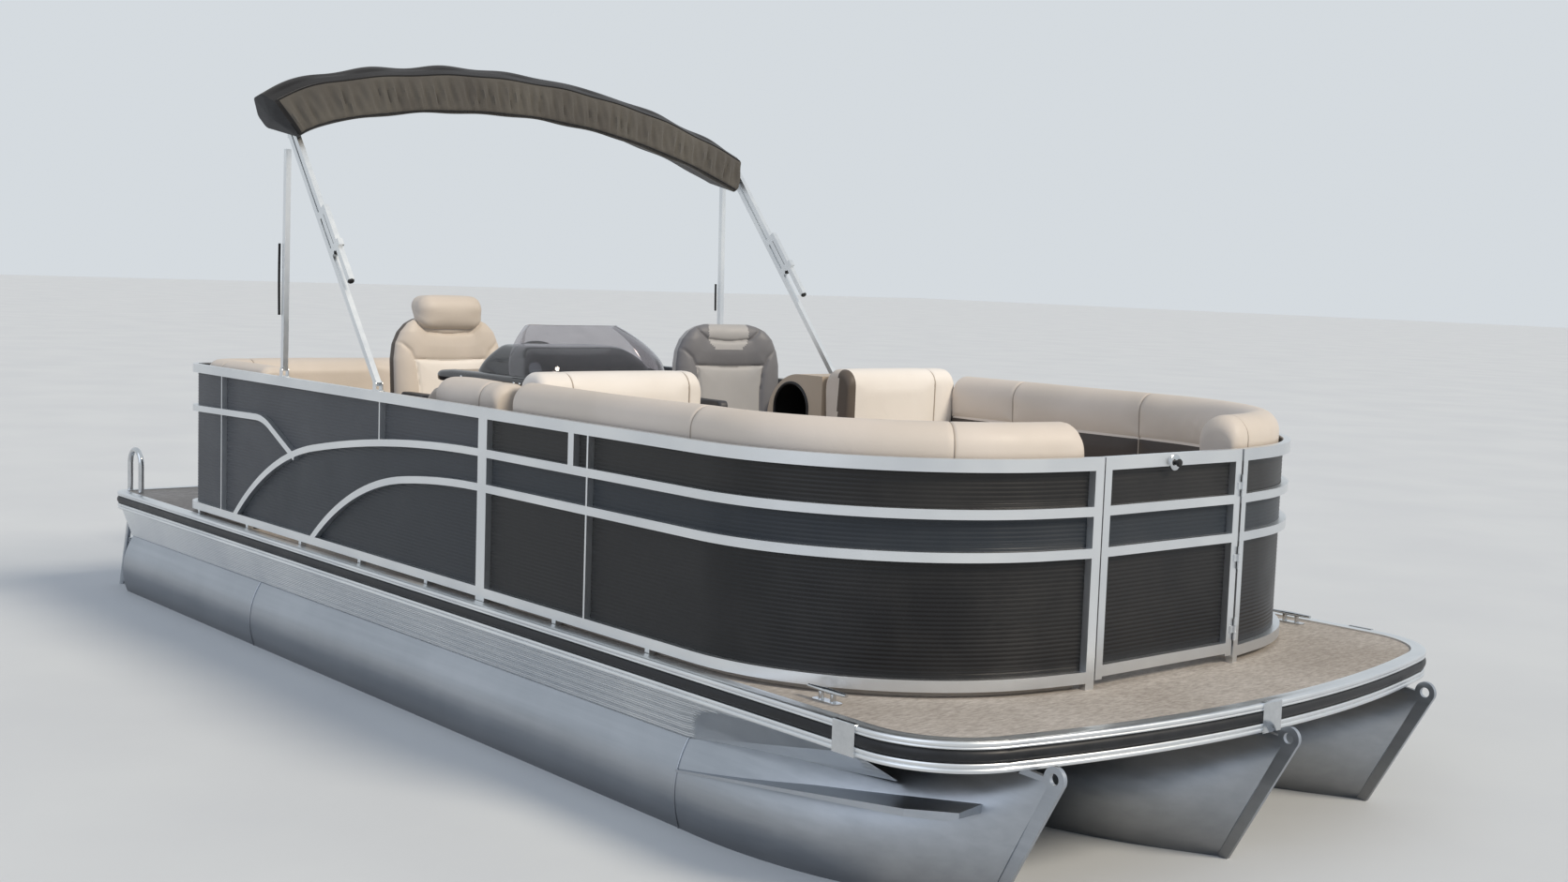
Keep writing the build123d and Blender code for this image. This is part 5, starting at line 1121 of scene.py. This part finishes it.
# The sheet's sizes at its foot and at its top edge.
GLASS_Z = (1.340, 1.534)
GLASS_FORE = (0.458, 0.268)
GLASS_HALF = (0.325, 0.208)
GLASS_CUT = (0.270, 0.182)
GLASS_CORNER = (0.105, 0.090)
GLASS_T = 0.0045
GLASS_ROWS = 16
GLASS_COLUMNS = 97
GLASS_Y = -0.655
GLASS_CROWN = 0.012
GLASS_DROP = 0.010
columns = []
for side_share in np.linspace(-1, 1, GLASS_COLUMNS):
    outer = []
    for share in np.linspace(0, 1, GLASS_ROWS):
        bulge = share ** 1.9
        fore, half = between(GLASS_FORE, bulge), between(GLASS_HALF, bulge)
        cut, corner = between(GLASS_CUT, share), between(GLASS_CORNER, share)
        side_run, bend, front_run = fore - corner - cut, corner * pi / 2, half - corner
        s_on = abs(side_share) * (side_run + bend + front_run)
        if s_on <= front_run:
            x, y = fore, s_on
        elif s_on <= front_run + bend:
            turn = (s_on - front_run) / corner
            x, y = fore - corner + corner * cos(turn), half - corner + corner * sin(turn)
        else:
            x, y = fore - corner - (s_on - front_run - bend), half
        x += GLASS_CROWN * (1 - (y / half) ** 2) - GLASS_CROWN
        at_end = (1 - min(1.0, (x - cut + 0.02) / 0.05)) ** 2 * (x < cut + 0.03)
        z = between(GLASS_Z, share) - GLASS_DROP * share * at_end
        outer.append((x, GLASS_Y + (y if side_share > 0 else -y), z))
    columns.append(outer)
outer = np.array(columns)
normal = np.cross(np.gradient(outer, axis=0), np.gradient(outer, axis=1))
normal /= np.maximum(np.linalg.norm(normal, axis=2)[..., None], 1e-9)
if (normal * (outer - np.array((0.0, GLASS_Y, GLASS_Z[0])))).sum() < 0:
    normal = -normal
inner = outer - normal * GLASS_T
loops = np.concatenate([outer, inner[:, ::-1]], axis=1)
count = 2 * GLASS_ROWS
faces = grid_faces(GLASS_COLUMNS, count, False, True)
for end in (0, (GLASS_COLUMNS - 1) * count):
    faces += [(end + k, end + k + 1, end + count - 2 - k, end + count - 1 - k) for k in range(GLASS_ROWS - 1)]
screen = new_piece("formed_screen", loops.reshape(-1, 3), faces, smoked, sharp_deg=50)
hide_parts("windshield")

# Steering wheel and controls: black moulded nylon and urethane. They show the fine spark texture of the
# mould, drawn at 3 mm, and rubbed patches.
black_plastic, tree, shader, place = new_material("moulded_black_nylon", Specular_IOR_Level=0.4)
spark = add_node(tree, "TexNoise", {"Vector": place, "Scale": 1000 / 3.33, "Detail": 2.0})
scuff = add_node(tree, "TexNoise", {"Vector": place, "Scale": 1000 / 83.3, "Detail": 5.0})
vary(shader, "Base Color", scuff.outputs["Fac"], (0.35, "#151516"), (0.75, "#242426"))
vary(shader, "Roughness", scuff.outputs["Fac"], (0.3, 0.38), (0.7, 0.55))
relief = add_node(tree, "Bump", {"Height": spark.outputs["Fac"], "Strength": 0.3, "Distance": 0.0005})
tree.links.new(relief.outputs["Normal"], shader.inputs["Normal"])
dress(black_plastic, "steering_wheel", "helm_controls")

# Fittings: cast and drawn stainless steel, polished bright, with faint wiping marks. They are bolted to
# the deck. The folding top's mounts are aluminium like the rails.
bright_steel, tree, shader, place = new_material("polished_stainless_steel", Metallic=1.0)
wipe = add_node(tree, "TexNoise", {"Vector": place, "Scale": 1000 / 33.3, "Detail": 5.0, "Roughness": 0.7})
vary(shader, "Base Color", wipe.outputs["Fac"], (0.3, "#C2C5C8"), (0.7, "#D4D6D8"))
vary(shader, "Roughness", wipe.outputs["Fac"], (0.3, 0.10), (0.7, 0.24))
dress(bright_steel, "cleats", "grab_handles", "ladder")
dress(rail_metal, "top_mounts")

# Pedestals: powder-coated steel, light grey, bolted to the deck. The coat's orange peel is drawn at
# 4.5 mm and gives soft, broken highlights.
powder_coat, tree, shader, place = new_material("light_grey_powder_coat", Specular_IOR_Level=0.4)
peel = add_node(tree, "TexNoise", {"Vector": place, "Scale": 1000 / 4.55, "Detail": 2.0})
shade = add_node(tree, "TexNoise", {"Vector": place, "Scale": 1000 / 167, "Detail": 3.0})
vary(shader, "Base Color", shade.outputs["Fac"], (0.3, "#A5A7A9"), (0.7, "#B3B5B7"))
vary(shader, "Roughness", shade.outputs["Fac"], (0.3, 0.34), (0.7, 0.46))
relief = add_node(tree, "Bump", {"Height": peel.outputs["Fac"], "Strength": 0.2, "Distance": 0.0006})
tree.links.new(relief.outputs["Normal"], shader.inputs["Normal"])
dress(powder_coat, "captain_chair_pedestal", "companion_chair_pedestal")

# Storage pod: the same moulded plastic as the console, painted near black inside its arched recess as a
# painted shade, with a rubber edge pushed over the rim of the opening.
ARCH_MID_X = 0.267
ARCH_SPRING_Z = 1.185
ARCH_FOOT_Z = 0.960
ARCH_R = 0.110
POD_FACE_Y = 0.432
RECESS_DEPTH = 0.262
PAINTED_SHADE_LAP = 0.002
RIM_CORNER = 0.03
RIM_R = 0.007
pod_plastic, tree, shader, place = new_material("rotomoulded_polyethylene_shaded_recess", Specular_IOR_Level=0.35)
cast = add_node(tree, "TexNoise", {"Vector": place, "Scale": 1000 / 333, "Detail": 3.0})
stipple = add_node(tree, "TexNoise", {"Vector": place, "Scale": 1000 / 2.38, "Detail": 2.0})
tones = ((0.3, "#B3A593"), (0.7, "#BEB09F"))
body_tone = add_node(tree, "ValToRGB", {"Fac": cast.outputs["Fac"]}, tones).outputs["Color"]
# Painted shade: inside the arched recess, from its face back to its depth, the plastic is near black.
axes = add_node(tree, "SeparateXYZ", {0: place})
level = add_node(tree, "Math", {0: axes.outputs["Z"], 1: ARCH_SPRING_Z}, operation="MAXIMUM")
flat = add_node(tree, "CombineXYZ", {0: axes.outputs["X"], 1: 0.0, 2: level.outputs[0]})
ends = {0: flat.outputs[0], 1: (ARCH_MID_X, 0.0, ARCH_SPRING_Z)}
reach = add_node(tree, "VectorMath", ends, operation="DISTANCE").outputs["Value"]
painted_shade_in_recess = add_node(tree, "Math", {0: reach, 1: ARCH_R + PAINTED_SHADE_LAP}, operation="LESS_THAN").outputs[0]
back = {0: axes.outputs["Y"], 1: POD_FACE_Y + RECESS_DEPTH}
inward = add_node(tree, "Math", back, operation="LESS_THAN").outputs[0]
for mask in (beyond("Z", ARCH_FOOT_Z - PAINTED_SHADE_LAP), beyond("Y", POD_FACE_Y + 0.001), inward):
    painted_shade_in_recess = add_node(tree, "Math", {0: painted_shade_in_recess, 1: mask}, operation="MULTIPLY").outputs[0]
tree.links.new(paint_over(tree, body_tone, (painted_shade_in_recess, paint("#121213"))), shader.inputs["Base Color"])
vary(shader, "Roughness", cast.outputs["Fac"], (0.3, 0.44), (0.7, 0.56))
relief = add_node(tree, "Bump", {"Height": stipple.outputs["Fac"], "Strength": 0.25, "Distance": 0.0008})
tree.links.new(relief.outputs["Normal"], shader.inputs["Normal"])
dress(pod_plastic, "storage_pod")
left, right = ARCH_MID_X - ARCH_R, ARCH_MID_X + ARCH_R
turns = np.linspace(0, pi, 25)
rim = [(ARCH_MID_X + ARCH_R * cos(t), POD_FACE_Y, ARCH_SPRING_Z + ARCH_R * sin(t)) for t in turns]
rim += [(left, POD_FACE_Y, z) for z in np.linspace(ARCH_SPRING_Z - RIM_CORNER, ARCH_FOOT_Z, 6)]
rim += [(x, POD_FACE_Y, ARCH_FOOT_Z) for x in np.linspace(left + RIM_CORNER, right - RIM_CORNER, 6)]
rim += [(right, POD_FACE_Y, z) for z in np.linspace(ARCH_FOOT_Z, ARCH_SPRING_Z - RIM_CORNER, 6)]
pod_rim = rod("pod_opening_edge", rim, RIM_R, rubber, closed=True)

# Folding top's boot: the rolled canopy in a zipped cover of woven acrylic canvas. The front is gathered
# in upright folds between a piped band along the crest and another along the lower edge.
WEAVE_MM = 4


def canvas(name, low, high):
    """Woven acrylic canvas, dull, whose 1 mm weave is drawn at 4 mm so that it shows."""
    material, tree, shader, place = new_material(
        name, Roughness=0.9, Specular_IOR_Level=0.15, Sheen_Weight=0.25, Sheen_Roughness=0.5,
    )
    threads = {"Vector": place, "Scale": 1000 / WEAVE_MM / (2 * pi), "Distortion": 0.6, "Detail": 1.0}
    warp, weft = (add_node(tree, "TexWave", threads, bands_direction=way).outputs["Fac"] for way in "YZ")
    cross = add_node(tree, "Math", {0: warp, 1: weft}, operation="MULTIPLY")
    fade = add_node(tree, "TexNoise", {"Vector": place, "Scale": 1000 / 250, "Detail": 5.0, "Roughness": 0.6})
    vary(shader, "Base Color", fade.outputs["Fac"], (0.3, low), (0.7, high))
    relief = add_node(tree, "Bump", {"Height": cross.outputs[0], "Strength": 0.3, "Distance": 0.001})
    tree.links.new(relief.outputs["Normal"], shader.inputs["Normal"])
    return material


taupe_canvas = canvas("woven_taupe_acrylic_canvas", "#4E4B47", "#5C5953")
black_canvas = canvas("woven_black_acrylic_canvas", "#1B1B1C", "#262627")
BOOT_X = -1.170
BOOT_SECTION = round_corners(
    [(0.152, -0.104), (0.098, 0.072), (0.014, 0.118), (-0.086, 0.102), (-0.144, 0.018), (-0.128, -0.040)],
    [0.020, 0.030, 0.040, 0.040, 0.030, 0.030], step=0.009,
)
BOOT_SHOULDER = (-1.080, 2.442)
BOOT_CROWN = (-0.250, 2.538)
BOOT_STARBOARD_END = (-1.295, 2.350)
BOOT_PORT_END = (1.160, 2.262)
FOLD_SEED = 11
FOLDS = 40
FOLD_DEPTH = 0.0085
FINE_FOLD_DEPTH = 0.0035
SAG_DEPTH = 0.0026
SAG_WAVES = (0.9, 0.52, 0.31)
CREST_DEPTH = 0.004
CREST_WAVE = 0.37
CREST_FROM = 0.10
FOLDS_FROM = 0.060
FOLDS_HEIGHT = 0.150
FRONT_FROM = 0.085
BLACK_UP_TO = 0.088
HEM_BELOW = -0.100
BLACK_END_RINGS = 6
END_BULGE = 0.016
PIPING_R = 0.0045


def circle_through(a, b, c):
    """Centre and radius of the circle through three points."""
    a, b, c = (np.array(p) for p in (a, b, c))
    rows = 2 * np.array((b - a, c - a))
    centre = np.linalg.solve(rows, np.array((b @ b - a @ a, c @ c - a @ a)))
    return centre, np.hypot(*(a - centre))


def arch_run(circle, start, stop, count):
    """Points and upward normals along a circle between two of its points, in y and z."""
    centre, radius = circle
    turns = [np.degrees(atan2(p[1] - centre[1], p[0] - centre[0])) for p in (start, stop)]
    return arc(centre, radius, *turns, count)


crown = circle_through(BOOT_SHOULDER, BOOT_CROWN, BOOT_PORT_END)
long_line, long_up = arch_run(crown, BOOT_SHOULDER, BOOT_PORT_END, 270)
shoulder = tangent_arc(BOOT_SHOULDER, (-long_up[0][1], long_up[0][0]), BOOT_STARBOARD_END)
short_line, short_up = arch_run(shoulder, BOOT_STARBOARD_END, BOOT_SHOULDER, 28)
arch_line = np.concatenate([short_line[:-1], long_line])
arch_up = np.concatenate([short_up[:-1], long_up])
along = np.concatenate([[0], np.cumsum(np.linalg.norm(np.diff(arch_line, axis=0), axis=1))])
draw = np.random.default_rng(FOLD_SEED)
gaps = 0.55 + 0.9 * draw.random(FOLDS)
pleats = np.interp(along, np.linspace(0, along[-1], FOLDS), np.cumsum(gaps))[:, None]
sag = sum(
    draw.uniform(0.3, 1.0) * np.sin(2 * pi * along / wave + draw.uniform(0, 6))
    for wave in SAG_WAVES
)
lean = draw.uniform(-0.5, 0.5)
off, rise = BOOT_SECTION.T
outward = np.stack([np.roll(rise, -1) - np.roll(rise, 1), np.roll(off, 1) - np.roll(off, -1)], 1)
outward /= np.linalg.norm(outward, axis=1)[:, None]
if (outward * (BOOT_SECTION - BOOT_SECTION.mean(axis=0))).sum() < 0:
    outward = -outward
drop = np.clip((FOLDS_FROM - rise) / FOLDS_HEIGHT, 0, 1)
on_front = np.clip((off - FRONT_FROM) / 0.02, 0, 1) * np.sin(pi * drop) ** 0.7
folds = FOLD_DEPTH * np.sin(2 * pi * pleats + 2.2 * drop + lean)
folds += FINE_FOLD_DEPTH * np.sin(4.7 * pi * pleats - 3.0 * drop)
swell = on_front * folds + (1 - on_front) * SAG_DEPTH * sag[:, None]
swell += CREST_DEPTH * (rise > CREST_FROM) * np.sin(2 * pi * along[:, None] / CREST_WAVE)
boot_off = off + swell * outward[:, 0]
boot_rise = rise + swell * outward[:, 1]
rings = np.stack([
    BOOT_X + boot_off,
    arch_line[:, None, 0] + boot_rise * arch_up[:, None, 0],
    arch_line[:, None, 1] + boot_rise * arch_up[:, None, 1],
], -1)
ends = []
last_rings = (rings[0], arch_line[0] - arch_line[1]), (rings[-1], arch_line[-1] - arch_line[-2])
for ring, way in last_rings:
    way = np.array((0.0, *(way / np.hypot(*way))))
    middle = ring.mean(axis=0)
    shares = (0.93, 0.78, 0.5, 0.2)
    ends.append([middle + (ring - middle) * k + way * END_BULGE * (1 - k) for k in shares])
rings = np.concatenate([np.array(ends[0][::-1]), rings, np.array(ends[1])])
points, faces = close_rings(rings, rings[0].mean(axis=0), rings[-1].mean(axis=0))
boot = new_piece("gathered_canvas_boot", points, faces, taupe_canvas, body="folding_top", sharp_deg=70)
boot.data.materials.append(black_canvas)
for face in boot.data.polygons:
    ring, k = divmod(face.vertices[0], len(off))
    if off[k] < BLACK_UP_TO or ring < BLACK_END_RINGS or rise[k] < HEM_BELOW:
        face.material_index = 1
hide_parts("top_boot")
for edge_name, target in (("crest", (0.094, 0.076)), ("hem", (0.146, -0.088))):
    k = int(np.argmin(np.hypot(off - target[0], rise - target[1])))
    piping = rod(f"boot_piping_{edge_name}", rings[5:-5, k], PIPING_R, black_canvas, body="folding_top")

# Outboard motor: a cowl of moulded plastic in gloss black over the powerhead, on a satin black leg. It
# hangs in its clamp bracket on the pod's transom.
cowl_paint, tree, shader, place = new_material(
    "gloss_black_clear_coat", Specular_IOR_Level=0.5, Coat_Weight=0.6, Coat_Roughness=0.04,
)
flake = add_node(tree, "TexVoronoi", {"Vector": place, "Scale": 1000 / 1.11})
dust = add_node(tree, "TexNoise", {"Vector": place, "Scale": 1000 / 167, "Detail": 6.0})
vary(shader, "Base Color", flake.outputs["Distance"], (0.1, "#2A2D31"), (0.5, "#141518"))
vary(shader, "Roughness", dust.outputs["Fac"], (0.3, 0.16), (0.7, 0.30))
leg_paint, tree, shader, place = new_material("satin_black_epoxy_paint", Specular_IOR_Level=0.45)
wear = add_node(tree, "TexNoise", {"Vector": place, "Scale": 1000 / 111, "Detail": 6.0, "Roughness": 0.7})
vary(shader, "Base Color", wear.outputs["Fac"], (0.35, "#17181A"), (0.75, "#2B2D30"))
vary(shader, "Roughness", wear.outputs["Fac"], (0.3, 0.30), (0.7, 0.46))
dress(leg_paint, "motor_leg", "clamp_bracket", "swivel_bracket", "propeller")
COWL_LEVELS = (
    # z, centre x, length, width
    (0.640, -3.480, 0.462, 0.292),
    (0.700, -3.482, 0.484, 0.312),
    (0.712, -3.482, 0.470, 0.300),
    (0.724, -3.483, 0.488, 0.318),
    (0.870, -3.490, 0.506, 0.336),
    (0.960, -3.493, 0.470, 0.316),
    (1.020, -3.496, 0.424, 0.284),
    (1.052, -3.500, 0.362, 0.238),
    (1.066, -3.502, 0.290, 0.188),
    (1.070, -3.504, 0.180, 0.116),
)
COWL_SIDES = 96
CROWN_RISE = 0.001
level_z, *shape = np.array(COWL_LEVELS).T
cowl_z = np.unique(np.concatenate([np.linspace(level_z[0], level_z[-1], 60), level_z]))
mid_x, long_x, wide_y = (np.interp(cowl_z, level_z, row)[:, None] for row in shape)
ahead, across = squared_circle(COWL_SIDES, 0.66)
high = np.repeat(cowl_z[:, None], COWL_SIDES, axis=1)
rings = np.stack([mid_x + long_x / 2 * ahead, wide_y / 2 * across, high], -1)
foot, crown = (mid_x[0, 0], 0.0, cowl_z[0]), (mid_x[-1, 0], 0.0, cowl_z[-1] + CROWN_RISE)
points, faces = close_rings(rings, foot, crown)
cowl = new_piece("moulded_motor_cowl", points, faces, cowl_paint, body="motor", sharp_deg=50)
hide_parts("motor_cowl")


# Small fittings: domed steel screws in the dash, gauges with black bezels on the hood, and black plugs
# pushed into the open ends of the folded tubes.
def lathe(name, profile, spot, axis, material, body="hull", sides=24):
    """Turned piece: a profile of (radius, height) revolved about an axis through a spot."""
    axis = np.array(axis, float) / np.linalg.norm(axis)
    across = np.cross(axis, (0.2, 0.3, 0.93))
    across /= np.linalg.norm(across)
    over = np.cross(axis, across)
    points = [
        np.array(spot) + axis * h + r * (cos(t) * across + sin(t) * over)
        for r, h in profile
        for t in np.linspace(0, 2 * pi, sides, endpoint=False)
    ]
    return new_piece(name, points, bar_faces(len(profile), sides), material, body=body, sharp_deg=35)


SCREW_HEAD = (
    (0.0062, -0.002), (0.0062, 0.001), (0.0056, 0.0022), (0.0042, 0.0032), (0.0024, 0.0037),
    (0.0020, 0.0026), (0.0006, 0.0025),
)
SCREW_Z = 1.312
DASH_SCREWS = (
    # x, y, outward direction
    (-0.095, -0.988, (0.0, -1.0, 0.0)),
    (0.300, -0.988, (0.0, -1.0, 0.0)),
    (0.342, -0.988, (0.0, -1.0, 0.0)),
    (0.384, -0.988, (0.0, -1.0, 0.0)),
    (0.463, -0.660, (1.0, 0.0, 0.0)),
)
for k, (x, y, way) in enumerate(DASH_SCREWS):
    screw = lathe(f"dash_screw_{k}", SCREW_HEAD, (x, y, SCREW_Z), way, bright_steel)
BEZEL = ((0.040, -0.006), (0.040, 0.004), (0.037, 0.007), (0.034, 0.004), (0.034, 0.002), (0.002, 0.002))
GAUGE_X = -0.046
GAUGE_Z = 1.392
GAUGE_FACING = (-0.80, 0.0, 0.60)
for k, y in enumerate((-0.790, -0.700, -0.610, -0.520)):
    gauge = lathe(f"gauge_{k}", BEZEL, (GAUGE_X, y, GAUGE_Z), GAUGE_FACING, black_plastic, sides=40)
LEG_FOOT = np.array((-0.335, 1.268))
LEG_HEADS = {"starboard": (-1, (-1.150, 2.290)), "port": (1, (-1.205, 2.290))}
LEG_Y = 1.226
FOLDED_ENDS = (
    # distance up the leg, distance off it
    (0.640, 0.034),
    (0.470, 0.062),
)
PLUG = ((0.0122, -0.004), (0.0136, 0.0), (0.0136, 0.004), (0.0112, 0.0066), (0.0040, 0.0074))
for side_name, (side, head) in LEG_HEADS.items():
    run = (head - LEG_FOOT) / np.linalg.norm(head - LEG_FOOT)
    off = np.array((run[1], -run[0]))
    for k, (start, away) in enumerate(FOLDED_ENDS):
        x, z = LEG_FOOT + run * start + off * away
        spot, way = (x, side * LEG_Y, z), (-run[0], 0.0, -run[1])
        plug = lathe(f"tube_plug_{side_name}_{k}", PLUG, spot, way, black_plastic, body="folding_top")

# Hull seams: a raised bead of weld round each tube where its nose cone and its end plate join it. It is
# left as laid, in the colour of the plate.
WELD_R = 0.0035
WELD_OUT = 0.0005
WELD_TOP_Z = 0.300
WELD_SEAMS = (("nose", 1.735), ("aft", -1.480))
TUBE_R = 0.310
TUBE_Z = 0.115
turns = np.linspace(0, 2 * pi, 120, endpoint=False)
for tube_name, y in (("starboard", -0.944), ("port", 0.944)):
    for seam_name, x in WELD_SEAMS:
        reach = TUBE_R + WELD_OUT
        ring = [(x, y + reach * cos(t), TUBE_Z + reach * sin(t)) for t in turns]
        ring = [p for p in ring if p[2] < WELD_TOP_Z]
        order = sorted(ring, key=lambda p: atan2(p[1] - y, -(p[2] - TUBE_Z)))
        rod(f"weld_{tube_name}_{seam_name}", order, WELD_R, mill_metal)

# Deck edge joiners: short bright steel sleeves riveted over the butt joints of the trim. Each is bent to
# the trim's outer face and follows the edge where it curves.
SLEEVE_PROFILE = ((-3.6, 440), (-3.6, 531), (-1.0, 533.4), (12, 533.4), (12, 530.8), (9, 530.8), (9, 440))
SLEEVE_HALF = 0.048
SLEEVES = {"bow": (3.080, -0.030), "starboard_bow": (2.559, -1.295), "port_bow": (2.559, 1.295)}
edge_line, edge_normal = deck_outline()
edge_run = np.concatenate([[0], np.cumsum(np.linalg.norm(np.diff(edge_line, axis=0), axis=1))])
fine = np.linspace(0, edge_run[-1], 6000)
fine_line = np.column_stack([np.interp(fine, edge_run, edge_line[:, k]) for k in (0, 1)])
fine_normal = np.column_stack([np.interp(fine, edge_run, edge_normal[:, k]) for k in (0, 1)])
for name, spot in SLEEVES.items():
    middle = fine[np.argmin(np.linalg.norm(fine_line - spot, axis=1))]
    keep = np.nonzero(np.abs(fine - middle) < SLEEVE_HALF)[0][::2]
    points = edge_points(fine_line[keep], fine_normal[keep], SLEEVE_PROFILE)
    faces = bar_faces(len(keep), len(SLEEVE_PROFILE))
    new_piece(f"trim_sleeve_{name}", points, faces, bright_steel)

# Gate latch: a cast steel slide latch screwed to the upper rail of the bow gate, with a black moulded
# finger knob.
LATCH_SPOT = (2.657, -0.012, 1.212)
LATCH_PLATE = ((0.026, -0.002), (0.026, 0.004), (0.023, 0.006), (0.004, 0.006))
LATCH_KNOB = ((0.008, 0.004), (0.007, 0.012), (0.012, 0.015), (0.013, 0.020), (0.010, 0.024), (0.003, 0.025))
for part, profile, material, slot in (
    ("plate", LATCH_PLATE, bright_steel, "polished_steel"),
    ("knob", LATCH_KNOB, black_plastic, "dark_plastic"),
):
    latch = lathe(f"gate_latch_{part}", profile, LATCH_SPOT, (1.0, 0.0, 0.0), material, body="bow_gate")

# Tie straps: dark webbing left wrapped along the folding top's struts. Each lies on its strut and rides
# with it.
STRAP_R = 0.0055
STRAP_SWAY = 0.004
STRAP_TURN = 9
STRAPS = (
    # side, x, y, low end, high end
    ("starboard", -1.222, -1.242, 1.510, 1.820),
    ("port", -1.282, 1.212, 1.560, 1.700),
)
for side_name, x, y, low, high in STRAPS:
    path = [(x - STRAP_SWAY * sin(STRAP_TURN * (z - low)), y, z) for z in np.linspace(low, high, 14)]
    strap = rod(f"tie_strap_{side_name}", path, STRAP_R, black_canvas, body=f"strut_{side_name}")
